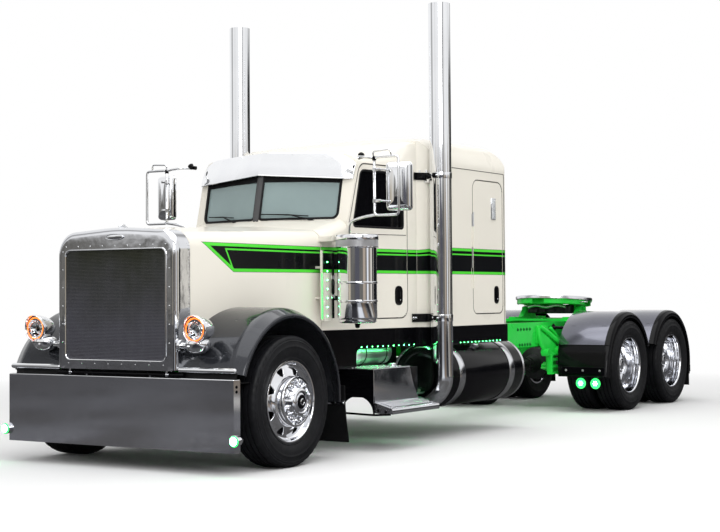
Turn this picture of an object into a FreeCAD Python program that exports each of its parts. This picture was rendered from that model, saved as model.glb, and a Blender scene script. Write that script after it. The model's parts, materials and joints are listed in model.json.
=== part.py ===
import FreeCAD, Part
import math
import os
import Sketcher

# Conventional sleeper truck tractor, 6x4, millimetres.
# Origin: on the ground, midway along the vehicle, on its centre plane.
# The front faces -Y, the driver's (left) side is +X and +Z is up.

DIMENSIONS = [
    # name, size
    ("overall_length", 9700),
    ("front_overhang", 800),
    ("first_drive_axle", 6774),
    ("tandem_gap", 57),
    ("tyre_radius", 516),
    ("tyre_width", 280),
    ("rim_radius", 311),
    ("rim_flange", 326),
    ("rim_width", 234),
    ("front_track_half", 1052),
    ("dual_outer_half", 1076),
    ("dual_spacing", 330),
    ("kingpin_half", 900),
    ("kingpin_radius", 20),
    ("spindle_radius", 40),
    ("rail_half", 432),
    ("rail_height", 270),
    ("rail_top", 1020),
    ("rail_flange", 90),
    ("rail_wall", 8),
    ("rail_front", 535),
    ("bumper_half", 1158),
    ("bumper_low", 170),
    ("bumper_top", 714),
    ("bumper_face", 731),
    ("bumper_depth", 80),
    ("bumper_wall", 6),
    ("pivot_forward", 695),
    ("pivot_height", 742),
    ("pivot_radius", 12),
    ("shell_half", 612),
    ("shell_low", 770),
    ("shell_top", 1900),
    ("shell_front", 740),
    ("shell_back", 560),
    ("shell_wall", 20),
    ("screen_half", 515),
    ("screen_low", 848),
    ("screen_top", 1712),
    ("hood_wall", 12),
    ("hood_low", 1000),
    ("hood_rear", 970),
    ("hood_rear_half", 800),
    ("hood_rear_top", 1965),
    ("fender_gap", 222),
    ("fender_outer", 1190),
    ("fender_wall", 8),
    ("cowl_front", 978),
    ("cowl_half", 800),
    ("cab_half", 940),
    ("cab_floor", 1045),
    ("cab_rear", 2340),
    ("cab_roof", 2620),
    ("cab_wall", 50),
    ("door_front", 1358),
    ("door_rear", 2195),
    ("door_low", 1140),
    ("door_top", 2500),
    ("door_lean", 160),
    ("window_front", 1413),
    ("window_rear", 2150),
    ("window_low", 1945),
    ("window_top", 2448),
    ("screen_nose", 1120),
    ("screen_corner", 760),
    ("screen_sweep", 211),
    ("glass_low", 1998),
    ("glass_thickness", 6),
    ("sleeper_half", 1050),
    ("sleeper_rear", 3975),
    ("sleeper_roof", 2890),
    ("sleeper_wall", 45),
    ("sleeper_door_front", 3245),
    ("sleeper_door_rear", 3855),
    ("sleeper_door_low", 1160),
    ("sleeper_door_top", 2450),
    ("skirt_low", 876),
    ("stack_out", 211),
    ("stack_back", 2435),
    ("stack_radius", 101.6),
    ("stack_top", 4030),
    ("stack_wall", 3),
    ("cleaner_half", 1128),
    ("cleaner_back", 1032),
    ("cleaner_radius", 169),
    ("cleaner_lid", 184),
    ("cleaner_low", 1126),
    ("cleaner_top", 1852),
    ("tank_radius", 305),
    ("tank_half", 830),
    ("tank_top", 890),
    ("tank_front", 2600),
    ("tank_rear", 4170),
    ("drive_fender_gap", 116),
    ("drive_fender_inner", 580),
    ("drive_fender_outer", 1222),
    ("fifth_wheel_back", 7270),
    ("fifth_wheel_radius", 465),
    ("fifth_wheel_top", 1300),
    ("fifth_wheel_pivot", 1165),
    ("kingpin_bore", 25.5),
    ("hinge_radius", 8),
    ("gap", 6),
    ("fit", 0.3),
    ("seam", 6),
    ("running", 0.05),
]

doc = FreeCAD.newDocument("tractor")
sheet = doc.addObject("Spreadsheet::Sheet", "Dims")
for row, (name, value) in enumerate(DIMENSIONS, start=1):
    sheet.set(f"A{row}", name)
    sheet.set(f"B{row}", str(value))
    sheet.setAlias(f"B{row}", name)
doc.recompute()


class Size:
    """A length that knows its number and the sheet expression that gives it."""

    def __init__(self, number, text):
        self.number = float(number)
        self.text = text

    def __float__(self):
        return self.number

    def __add__(self, other):
        return Size(self.number + float(other), f"({self.text} + {text_of(other)})")

    def __sub__(self, other):
        return Size(self.number - float(other), f"({self.text} - {text_of(other)})")

    def __mul__(self, other):
        return Size(self.number * float(other), f"({self.text} * {text_of(other)})")

    def __truediv__(self, other):
        return Size(self.number / float(other), f"({self.text} / {text_of(other)})")

    def __neg__(self):
        return Size(-self.number, f"(0 - {self.text})")

    def __rsub__(self, other):
        return Size(float(other) - self.number, f"({text_of(other)} - {self.text})")

    __radd__ = __add__
    __rmul__ = __mul__


def text_of(value):
    """The expression text of a Size or of a plain number."""
    if isinstance(value, Size):
        return value.text
    return f"({float(value):.9g})"


def dim(name):
    """The sheet's cell of that name, as a Size."""
    return Size(sheet.get(name), f"Dims.{name}")


def along(distance):
    """The Y of a place that lies a distance behind the front axle."""
    return dim("front_overhang") - dim("overall_length") / 2 + distance


def vector(point):
    return FreeCAD.Vector(*(float(value) for value in point))


def bind(thing, path, value):
    thing.setExpression(path, text_of(value))


def bind_point(thing, path, point):
    for letter, value in zip("xyz", point):
        bind(thing, f"{path}.{letter}", value)


# ---------------------------------------------------------------- building blocks

PLANES = {
    # plane: rotation that takes the sketch's X and Y to the plane's two axes
    "XY": FreeCAD.Rotation(),
    "XZ": FreeCAD.Rotation(FreeCAD.Vector(1, 0, 0), 90),
    "YZ": FreeCAD.Rotation(FreeCAD.Vector(1, 1, 1), 120),
    "ZX": FreeCAD.Rotation(FreeCAD.Vector(1, 1, 1), 240),
}
TURNING = {
    # turning axis: plane whose first axis lies along it, axis direction
    "X": ("XY", FreeCAD.Vector(1, 0, 0)),
    "Y": ("YZ", FreeCAD.Vector(0, 1, 0)),
    "Z": ("ZX", FreeCAD.Vector(0, 0, 1)),
}
AXIS_ROTATION = {
    "X": FreeCAD.Rotation(FreeCAD.Vector(0, 1, 0), 90),
    "Y": FreeCAD.Rotation(FreeCAD.Vector(1, 0, 0), -90),
    "Z": FreeCAD.Rotation(),
}


def corner_points(corners):
    """Each corner as its entry point, exit point and arc centre, radius 0 where it is sharp."""
    found = []
    count = len(corners)
    for index, corner in enumerate(corners):
        u, v = corner[0], corner[1]
        radius = corner[2] if len(corner) > 2 else 0
        here = FreeCAD.Vector(float(u), float(v), 0)
        before = vector((corners[index - 1][0], corners[index - 1][1], 0)) - here
        after = vector((corners[(index + 1) % count][0], corners[(index + 1) % count][1], 0)) - here
        before.normalize()
        after.normalize()
        if not float(radius):
            found.append(((u, v), (u, v), None, 0))
            continue
        half = before.getAngle(after) / 2
        reach = 1 / math.tan(half)
        entry = (u + radius * (reach * before.x), v + radius * (reach * before.y))
        leave = (u + radius * (reach * after.x), v + radius * (reach * after.y))
        inward = before + after
        inward.normalize()
        centre = here + inward * (float(radius) / math.sin(half))
        found.append((entry, leave, centre, float(radius)))
    return found


def outline(name, plane, origin, corners, turn=None):
    """A closed sketch of lines and corner arcs; each corner is (u, v) or (u, v, radius)."""
    sketch = doc.addObject("Sketcher::SketchObject", name)
    rotation = PLANES[plane]
    if turn is not None:
        rotation = turn.multiply(rotation)
    sketch.Placement = FreeCAD.Placement(vector(origin), rotation)
    bind_point(sketch, "Placement.Base", origin)
    points = corner_points(corners)
    count = len(points)
    lines = []
    for index in range(count):
        start = points[index][1]
        end = points[(index + 1) % count][0]
        segment = Part.LineSegment(vector((*start, 0)), vector((*end, 0)))
        lines.append(sketch.addGeometry(segment, False))
    for index, (entry, leave, centre, radius) in enumerate(points):
        before, after = lines[index - 1], lines[index]
        pin_point(sketch, after, 1, leave)
        if centre is None:
            sketch.addConstraint(Sketcher.Constraint("Coincident", before, 2, after, 1))
            continue
        pin_point(sketch, before, 2, entry)
        first = math.atan2(float(entry[1]) - centre.y, float(entry[0]) - centre.x)
        last = math.atan2(float(leave[1]) - centre.y, float(leave[0]) - centre.x)
        left_turn = (last - first) % (2 * math.pi) < math.pi
        if not left_turn:
            first, last = last, first
        circle = Part.Circle(centre, FreeCAD.Vector(0, 0, 1), radius)
        arc = sketch.addGeometry(Part.ArcOfCircle(circle, first, last), False)
        entry_end, leave_end = (1, 2) if left_turn else (2, 1)
        sketch.addConstraint(Sketcher.Constraint("Tangent", before, 2, arc, entry_end))
        sketch.addConstraint(Sketcher.Constraint("Coincident", arc, leave_end, after, 1))
    return sketch


def pin_point(sketch, geometry, end, point):
    """Hold one end of a line at a place that follows the sheet."""
    for kind, value in zip(("DistanceX", "DistanceY"), point):
        constraint = Sketcher.Constraint(kind, -1, 1, geometry, end, float(value))
        index = sketch.addConstraint(constraint)
        if isinstance(value, Size):
            bind(sketch, f"Constraints[{index}]", value)


def prism(name, plane, origin, corners, depth, back=False, turn=None):
    """An outline pushed out along its plane's normal, or against it."""
    body = doc.addObject("Part::Extrusion", name)
    body.Base = outline(f"{name}_outline", plane, origin, corners, turn)
    body.DirMode = "Normal"
    body.Solid = True
    body.Reversed = back
    bind(body, "LengthFwd", depth)
    return body


def turned(name, axis, centre, corners, sweep=360, start=0):
    """An outline of (distance along the axis, radius) corners turned about that axis."""
    plane, direction = TURNING[axis]
    turn = FreeCAD.Rotation(direction, start)
    body = doc.addObject("Part::Revolution", name)
    body.Source = outline(f"{name}_outline", plane, centre, corners, turn)
    body.Axis = direction
    body.Base = vector(centre)
    bind_point(body, "Base", centre)
    body.Angle = sweep
    body.Solid = True
    return body


def box(name, low, size):
    body = doc.addObject("Part::Box", name)
    for side, value in zip(("Length", "Width", "Height"), size):
        bind(body, side, value)
    bind_point(body, "Placement.Base", low)
    return body


def rod(name, axis, start, radius, length):
    """A cylinder from its start point, along +X, +Y or +Z."""
    body = doc.addObject("Part::Cylinder", name)
    body.Placement = FreeCAD.Placement(vector(start), AXIS_ROTATION[axis])
    bind_point(body, "Placement.Base", start)
    bind(body, "Radius", radius)
    bind(body, "Height", length)
    return body


def cut(name, base, *tools):
    body = doc.addObject("Part::Cut", name)
    body.Base = base
    body.Tool = tools[0] if len(tools) == 1 else fuse(f"{name}_tools", *tools)
    return body


def fuse(name, *shapes):
    body = doc.addObject("Part::MultiFuse", name)
    body.Shapes = list(shapes)
    body.Refine = True
    return body


def common(name, *shapes):
    body = doc.addObject("Part::MultiCommon", name)
    body.Shapes = list(shapes)
    return body


def group(name, *shapes):
    body = doc.addObject("Part::Compound", name)
    body.Links = list(shapes)
    return body


def mirror(name, source):
    """The same piece on the other side of the centre plane."""
    body = doc.addObject("Part::Mirroring", name)
    body.Source = source
    body.Normal = FreeCAD.Vector(1, 0, 0)
    return body


def loft(name, *sections):
    body = doc.addObject("Part::Loft", name)
    body.Sections = list(sections)
    body.Solid = True
    body.Ruled = True
    return body


def pipe(name, points, radius, bend):
    """A round bar along straight runs joined by tangent arcs."""
    places = [vector(point) for point in points]
    edges = []
    start = places[0]
    for before, corner, after in zip(places, places[1:], places[2:]):
        arriving = (before - corner).normalize()
        leaving = (after - corner).normalize()
        half = arriving.getAngle(leaving) / 2
        reach = bend / math.tan(half)
        inward = (arriving + leaving).normalize()
        middle = corner + inward * (bend / math.sin(half) - bend)
        entry = corner + arriving * reach
        leave = corner + leaving * reach
        edges.append(Part.LineSegment(start, entry).toShape())
        edges.append(Part.Arc(entry, middle, leave).toShape())
        start = leave
    edges.append(Part.LineSegment(start, places[-1]).toShape())
    path = Part.Wire(edges)
    ring = Part.Circle(places[0], (places[1] - places[0]).normalize(), float(radius)).toShape()
    body = doc.addObject("Part::Feature", name)
    body.Shape = path.makePipeShell([Part.Wire([ring])], True, False)
    return body


nodes = {}


def node(label, body):
    """Name a finished sub-part."""
    body.Label = label
    nodes[label] = body
    return body


def both_sides(label, make):
    """One node of a left piece and its mirror image."""
    left = make(f"{label}_left")
    return node(label, group(f"{label}_pair", left, mirror(f"{label}_right", left)))


wheel_height = dim("tyre_radius")
drive_fender_radius = dim("tyre_radius") + dim("drive_fender_gap")
second_drive_axle = dim("first_drive_axle") + drive_fender_radius * 2 + dim("tandem_gap")
rail_low = dim("rail_top") - dim("rail_height")
frame_rear = dim("overall_length") / 2


# ---------------------------------------------------------------- frame

def frame_rails():
    front = along(-dim("rail_front"))

    def rail(name):
        web = dim("rail_half") - dim("rail_wall")
        inner = dim("rail_half") - dim("rail_flange")
        under_flange = dim("rail_top") - dim("rail_wall")
        over_flange = rail_low + dim("rail_wall")
        corners = [
            (dim("rail_half"), rail_low),
            (dim("rail_half"), dim("rail_top")),
            (inner, dim("rail_top")),
            (inner, under_flange),
            (web, under_flange),
            (web, over_flange),
            (inner, over_flange),
            (inner, rail_low),
        ]
        return prism(name, "XZ", (0, front, 0), corners, frame_rear - front, back=True)

    both_sides("frame_rails", rail)


def frame_crossmembers():
    """Box members between the webs, and the closing member across the rail ends."""
    reach = dim("rail_half") - dim("rail_wall")
    depth = 60
    height = 120
    low = rail_low + dim("rail_wall")
    shapes = []
    for index, back in enumerate((2250, 4000, 5300, 6250, 7434, 8620)):
        place = (-reach, along(back), low + 45)
        shapes.append(box(f"crossmember_{index}", place, (reach * 2, depth, height)))
    node("frame_crossmembers", group("crossmembers", *shapes))


def front_bumper():
    face = along(-dim("bumper_face"))
    half, wall = dim("bumper_half"), dim("bumper_wall")
    height = dim("bumper_top") - dim("bumper_low")
    outer = box("bumper_outer", (-half, face, dim("bumper_low")), (half * 2, dim("bumper_depth"), height))
    hollow = box(
        "bumper_hollow",
        (-half + wall, face + wall, dim("bumper_low") + wall),
        (half * 2 - wall * 2, dim("bumper_depth"), height - wall * 2),
    )
    skin = cut("bumper_skin", outer, hollow)
    plate = 16
    web = dim("rail_half") - dim("rail_flange") - dim("seam")
    reach = dim("screen_half") + 10
    rail_nose = along(-dim("rail_front"))
    pivot_y = along(-dim("pivot_forward"))
    arms = []
    for side, low_x in (("left", web - plate), ("right", -web)):
        corners = [
            (rail_nose + 120, rail_low + 20),
            (rail_nose + 120, rail_low + 190),
            (rail_nose + 10, rail_low + 190),
            (rail_nose - 20, dim("pivot_height") + dim("pivot_radius") + 4),
            (pivot_y + 4, dim("pivot_height") + dim("pivot_radius") + 4),
            (pivot_y - 10, dim("pivot_height")),
            (pivot_y - 10, dim("bumper_top")),
            (face + wall, dim("bumper_top") - wall),
            (face + wall, dim("bumper_low") + 160),
            (face + wall + 50, dim("bumper_low") + 160),
        ]
        arms.append(prism(f"bumper_arm_{side}", "YZ", (low_x, 0, 0), corners, plate))
        inside = dim("rail_half") - dim("rail_wall")
        pad_x = inside if side == "left" else -inside
        near, far = (web - plate, pad_x) if side == "left" else (pad_x, -(web - plate))
        pad_low = (near, rail_nose + 40, rail_low + 60)
        arms.append(box(f"bumper_pad_{side}", pad_low, (far - near, 70, 100)))
    bar = rod("hood_pivot_bar", "X", (-reach, pivot_y, dim("pivot_height")), dim("pivot_radius"), reach * 2)
    node("front_bumper", fuse("bumper_and_arms", skin, *arms, bar))


def engine():
    """The engine and gearbox as plain blocks on their mounts."""
    half = 320
    front, rear = along(-430), along(engine_rear)
    web = dim("rail_half") - dim("rail_wall")
    block = box("engine_block", (-half, front, 620), (half * 2, rear - front, 980))
    gearbox = box("gearbox", (-220, rear, 650), (440, along(gearbox_end) - rear, 370))
    mounts = [
        box(f"engine_mount_{index}", (-web, along(back), 850), (web * 2, 90, 60))
        for index, back in enumerate((-200, 620))
    ]
    tail = box("gearbox_mount", (-web, rear + 760, 800), (web * 2, 80, 50))
    node("engine", fuse("engine_and_gearbox", block, gearbox, *mounts, tail))


def front_axle():
    """Dropped beam with an eye and a kingpin at each end."""
    half = dim("kingpin_half")
    ends = half - 40
    profile = [
        (-ends, wheel_height - 40),
        (-560, 410),
        (560, 410),
        (ends, wheel_height - 40),
        (ends, wheel_height + 40),
        (600, 500),
        (-600, 500),
        (-ends, wheel_height + 40),
    ]
    beam = prism("axle_beam", "XZ", (0, along(-45), 0), profile, 90, back=True)
    parts = [beam]
    for side, x in (("left", half), ("right", -half)):
        parts.append(rod(f"axle_eye_{side}", "Z", (x, along(0), wheel_height - 61), 45, 122))
        pin_low = (x, along(0), wheel_height - 116)
        parts.append(rod(f"kingpin_{side}", "Z", pin_low, dim("kingpin_radius"), 232))
    node("front_axle", fuse("front_axle_beam", *parts))


arm_reach = 210
arm_pin = 12
tie_rod_height = 375


def knuckle(name):
    """Yoke round the axle eye, spindle and steering arm of the left wheel."""
    x = dim("kingpin_half")
    eye, gap = 45, dim("gap")
    ear = 38
    low = wheel_height - 61 - gap - ear
    plate_x = x + eye + gap
    parts = [
        rod(f"{name}_lower_ear", "Z", (x, along(0), low), eye, ear),
        rod(f"{name}_upper_ear", "Z", (x, along(0), wheel_height + 61 + gap), eye, ear),
        box(f"{name}_lower_web", (x, along(-eye), low), (eye + gap + 24, eye * 2, ear)),
        box(f"{name}_upper_web", (x, along(-eye), wheel_height + 61 + gap), (eye + gap + 24, eye * 2, ear)),
        box(f"{name}_plate", (plate_x, along(-60), low), (24, 120, (61 + gap + ear) * 2)),
        rod(f"{name}_spindle", "X", (plate_x, along(0), wheel_height), dim("spindle_radius"), 180),
        prism(
            f"{name}_arm",
            "XY",
            (0, 0, low),
            [
                (x + 30, along(0)),
                (x + 25, along(arm_reach + 20)),
                (x - 25, along(arm_reach + 20)),
                (x - 40, along(0)),
            ],
            25,
        ),
        rod(
            f"{name}_arm_pin",
            "Z",
            (x, along(arm_reach), tie_rod_height - 25),
            arm_pin,
            low - tie_rod_height + 26,
        ),
    ]
    whole = fuse(f"{name}_solid", *parts)
    bore = rod(f"{name}_bore", "Z", (x, along(0), low - 5), dim("kingpin_radius") + dim("running"), 300)
    return cut(f"{name}_body", whole, bore)


def knuckles():
    left = node("left_knuckle", knuckle("left_knuckle"))
    node("right_knuckle", mirror("right_knuckle_body", left))


def tie_rod():
    """Rod between the steering arms; its right eye is wide, so the linkage is open there."""
    x = dim("kingpin_half")
    eye, height = 26, 36
    y = along(arm_reach)
    low = tie_rod_height - height / 2
    shaft = rod("tie_rod_shaft", "X", (-x + eye - 4, y, tie_rod_height), 16, (x - eye + 4) * 2)
    eyes = [
        rod(f"tie_rod_eye_{side}", "Z", (at, y, low), eye, height)
        for side, at in (("left", x), ("right", -x))
    ]
    bores = [
        rod("tie_rod_bore_left", "Z", (x, y, low - 2), arm_pin + dim("running"), height + 4),
        rod("tie_rod_bore_right", "Z", (-x, y, low - 2), arm_pin + 4, height + 4),
    ]
    node("tie_rod", cut("tie_rod_body", fuse("tie_rod_solid", shaft, *eyes), *bores))


# ---------------------------------------------------------------- wheels

def tyre(name, centre_x, axle):
    """Tyre section: beads, sidewalls and tread, turned about the axle."""
    half = dim("tyre_width") / 2
    bead = dim("rim_width") / 2 - 16
    inside = dim("rim_radius") + dim("fit")
    outer = dim("tyre_radius")
    corners = [
        (-bead, inside),
        (-bead, inside + 22, 8),
        (-half + 14, inside + 70, 60),
        (-half, inside + 110, 60),
        (-half + 12, outer - 14, 16),
        (-half + 34, outer, 10),
        (half - 34, outer, 10),
        (half - 12, outer - 14, 16),
        (half, inside + 110, 60),
        (half - 14, inside + 70, 60),
        (bead, inside + 22, 8),
        (bead, inside),
    ]
    return turned(name, "X", (centre_x, axle, wheel_height), corners)


disc_bore = 85


def rim(name, centre_x, axle, disc_x, disc_out):
    """Wheel rim with its disc; disc_x is the mounting face and disc_out the side it dishes to."""
    half = dim("rim_width") / 2
    barrel = dim("rim_radius")
    flange = dim("rim_flange")
    wall = 10
    ring = turned(
        f"{name}_barrel",
        "X",
        (centre_x, axle, wheel_height),
        [
            (-half, flange),
            (-half, barrel - wall),
            (half, barrel - wall),
            (half, flange),
            (half - 12, flange),
            (half - 12, barrel),
            (-half + 12, barrel),
            (-half + 12, flange),
        ],
    )
    disc = turned(
        f"{name}_disc",
        "X",
        (disc_x, axle, wheel_height),
        [
            (0, disc_bore),
            (0, 190),
            (disc_out * 50, barrel - wall + 1),
            (disc_out * 70, barrel - wall + 1),
            (disc_out * 22, 190),
            (disc_out * 22, disc_bore),
        ],
    )
    return [ring, disc]


def hand_holes(name, axle, from_x, length):
    """Ten round openings in the wheel disc."""
    holes = []
    for index in range(10):
        angle = math.radians(36 * index + 18)
        place = (from_x, axle + 248 * math.cos(angle), wheel_height + 248 * math.sin(angle))
        holes.append(rod(f"{name}_hand_hole_{index}", "X", place, 30, length))
    return holes


def front_wheel(name):
    axle = along(0)
    centre = dim("front_track_half")
    spindle = dim("spindle_radius") + dim("running")
    inner_face = dim("kingpin_half") + 45 + dim("gap") + 24 + dim("gap")
    disc_x = centre + 30
    hub = turned(
        f"{name}_hub",
        "X",
        (0, axle, wheel_height),
        [
            (inner_face, spindle),
            (inner_face, 210),
            (disc_x, 210),
            (disc_x, 150),
            (disc_x + 90, 130, 20),
            (disc_x + 150, 62, 12),
            (disc_x + 150, 0),
            (disc_x + 60, 0),
            (disc_x + 60, spindle),
        ],
    )
    parts = rim(name, centre, axle, disc_x, 1)
    whole = fuse(f"{name}_solid", hub, *parts)
    return cut(f"{name}_body", whole, *hand_holes(name, axle, disc_x + 2, 90))


def drive_wheels(name, axle):
    """Outer and inner rims back to back on one hub."""
    outer_x = dim("dual_outer_half")
    inner_x = outer_x - dim("dual_spacing")
    middle = (outer_x + inner_x) / 2
    tube = drive_tube + dim("running")
    hub = turned(
        f"{name}_hub",
        "X",
        (0, axle, wheel_height),
        [
            (middle - 290, tube),
            (middle - 290, 212),
            (middle - 60, 212),
            (middle - 40, 150),
            (middle + 30, 150),
            (middle + 60, 120, 12),
            (middle + 190, 96, 16),
            (middle + 190, 0),
            (middle + 70, 0),
            (middle + 70, tube),
        ],
    )
    parts = rim(f"{name}_outer", outer_x, axle, middle, 1) + rim(f"{name}_inner", inner_x, axle, middle, -1)
    whole = fuse(f"{name}_solid", hub, *parts)
    return cut(f"{name}_body", whole, *hand_holes(name, axle, middle - 110, 220))


def wheels():
    left = node("left_front_tyre", tyre("left_front_tyre", dim("front_track_half"), along(0)))
    node("right_front_tyre", mirror("right_front_tyre_body", left))
    left = node("left_front_wheel", front_wheel("left_front_wheel"))
    node("right_front_wheel", mirror("right_front_wheel_body", left))
    for order, back in (("first", dim("first_drive_axle")), ("second", second_drive_axle)):
        axle = along(back)
        label = f"{order}_drive"
        outer = tyre(f"left_{label}_outer_tyre", dim("dual_outer_half"), axle)
        inner = tyre(f"left_{label}_inner_tyre", dim("dual_outer_half") - dim("dual_spacing"), axle)
        left = node(f"left_{label}_tyres", group(f"left_{label}_tyre_pair", outer, inner))
        node(f"right_{label}_tyres", mirror(f"right_{label}_tyre_pair", left))
        left = node(f"left_{label}_wheels", drive_wheels(f"left_{label}_wheels", axle))
        node(f"right_{label}_wheels", mirror(f"right_{label}_wheels_body", left))


drive_tube = 60
sleeve_radius = 75
bowl_front = 210
bowl_rear = 120
engine_rear = 930
gearbox_end = engine_rear + 1080


def drive_axles():
    """Housing tube with its gear bowl, one for each drive axle."""
    reach = dim("dual_outer_half") - dim("dual_spacing") / 2 + 60
    axles = []
    for order, back in (("first", dim("first_drive_axle")), ("second", second_drive_axle)):
        axle = along(back)
        tube = rod(f"{order}_axle_tube", "X", (-reach, axle, wheel_height), drive_tube, reach * 2)
        sleeve = rod(f"{order}_axle_sleeve", "X", (-560, axle, wheel_height), sleeve_radius, 1120)
        bowl = turned(
            f"{order}_axle_bowl",
            "Y",
            (0, axle, wheel_height),
            [
                (-bowl_front, 0),
                (-bowl_front, 75),
                (-90, 110),
                (-60, 190, 20),
                (60, 190, 20),
                (bowl_rear, 120, 20),
                (bowl_rear, 0),
            ],
        )
        axles.append(fuse(f"{order}_axle_housing", tube, sleeve, bowl))
    node("drive_axles", group("drive_axle_pair", *axles))


def driveshafts():
    """Main shaft from the gearbox to the first axle and the short shaft between the axles."""
    first = along(dim("first_drive_axle"))
    gearbox_rear = along(gearbox_end)
    gearbox_axis = 730
    flange, flange_depth = 62, 60
    main_end = first - bowl_front
    shaft = doc.addObject("Part::Feature", "main_shaft")
    start = vector((0, gearbox_rear + flange_depth / 2, gearbox_axis))
    end = vector((0, main_end - flange_depth / 2, wheel_height))
    shaft.Shape = Part.makeCylinder(50, (end - start).Length, start, end - start)
    main = fuse(
        "main_driveshaft",
        rod("gearbox_flange", "Y", (0, gearbox_rear, gearbox_axis), flange, flange_depth),
        shaft,
        rod("first_axle_flange", "Y", (0, main_end - flange_depth, wheel_height), flange, flange_depth),
    )
    short_start = first + bowl_rear
    short_length = along(second_drive_axle) - bowl_front - short_start
    short = rod("short_shaft", "Y", (0, short_start, wheel_height), 50, short_length)
    node("driveshafts", group("driveshaft_pair", main, short))


def suspension():
    """Front leaf springs with their hangers, rear trailing arms with air springs and hangers."""
    shapes = []
    half = dim("rail_half")
    spring_x = half - 88
    axle_top = 500
    pack = [
        (along(-450), rail_low - 60),
        (along(-430), rail_low - 30),
        (along(-60), axle_top + 60),
        (along(60), axle_top + 60),
        (along(640), rail_low - 30),
        (along(660), rail_low - 60),
        (along(70), axle_top),
        (along(-70), axle_top),
    ]
    spring = prism("front_spring", "YZ", (spring_x, 0, 0), pack, 80)
    hangers = [
        box(f"front_hanger_{index}", (spring_x, along(back), rail_low - 70), (80, 60, 70))
        for index, back in enumerate((-480, 630))
    ]
    front = fuse("front_spring_left", spring, *hangers)
    shapes += [front, mirror("front_spring_right", front)]
    arm_x = half - 90
    seat = sleeve_radius + dim("fit")
    for order, back in (("first", dim("first_drive_axle")), ("second", second_drive_axle)):
        front_y, rear_y = along(back - 560), along(back + 390)
        arm = prism(
            f"{order}_arm",
            "YZ",
            (arm_x, 0, 0),
            [
                (front_y - 40, wheel_height - 30),
                (front_y + 40, wheel_height + 40),
                (along(back), wheel_height - 76),
                (rear_y + 90, wheel_height - 110),
                (rear_y + 90, wheel_height - 150),
                (along(back), wheel_height - 150),
            ],
            80,
        )
        hanger = prism(
            f"{order}_hanger",
            "YZ",
            (half, 0, 0),
            [
                (front_y - 70, wheel_height - 60),
                (front_y + 70, wheel_height - 60),
                (front_y + 110, rail_low + 130),
                (front_y - 110, rail_low + 130),
            ],
            50,
        )
        pin = rod(f"{order}_hanger_pin", "X", (arm_x, front_y, wheel_height), 22, 141)
        bag_low = wheel_height - 111
        bag = rod(f"{order}_air_spring", "Z", (arm_x + 40, rear_y, bag_low), 120, rail_low - bag_low)
        saddle = box(f"{order}_saddle", (arm_x, along(back) - 80, wheel_height - 100), (80, 160, 30))
        clamp = turned(
            f"{order}_clamp",
            "X",
            (arm_x, along(back), wheel_height),
            [(0, seat), (0, 95), (80, 95), (80, seat)],
        )
        side = fuse(f"{order}_suspension_left", arm, hanger, pin, bag, saddle, clamp)
        space = rod(f"{order}_axle_space", "X", (arm_x - 5, along(back), wheel_height), seat, 90)
        cleared = cut(f"{order}_suspension_clear", side, space)
        shapes += [cleared, mirror(f"{order}_suspension_right", cleared)]
    node("suspension", group("springs_and_arms", *shapes))


# ---------------------------------------------------------------- hood, on its front pivot

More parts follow.
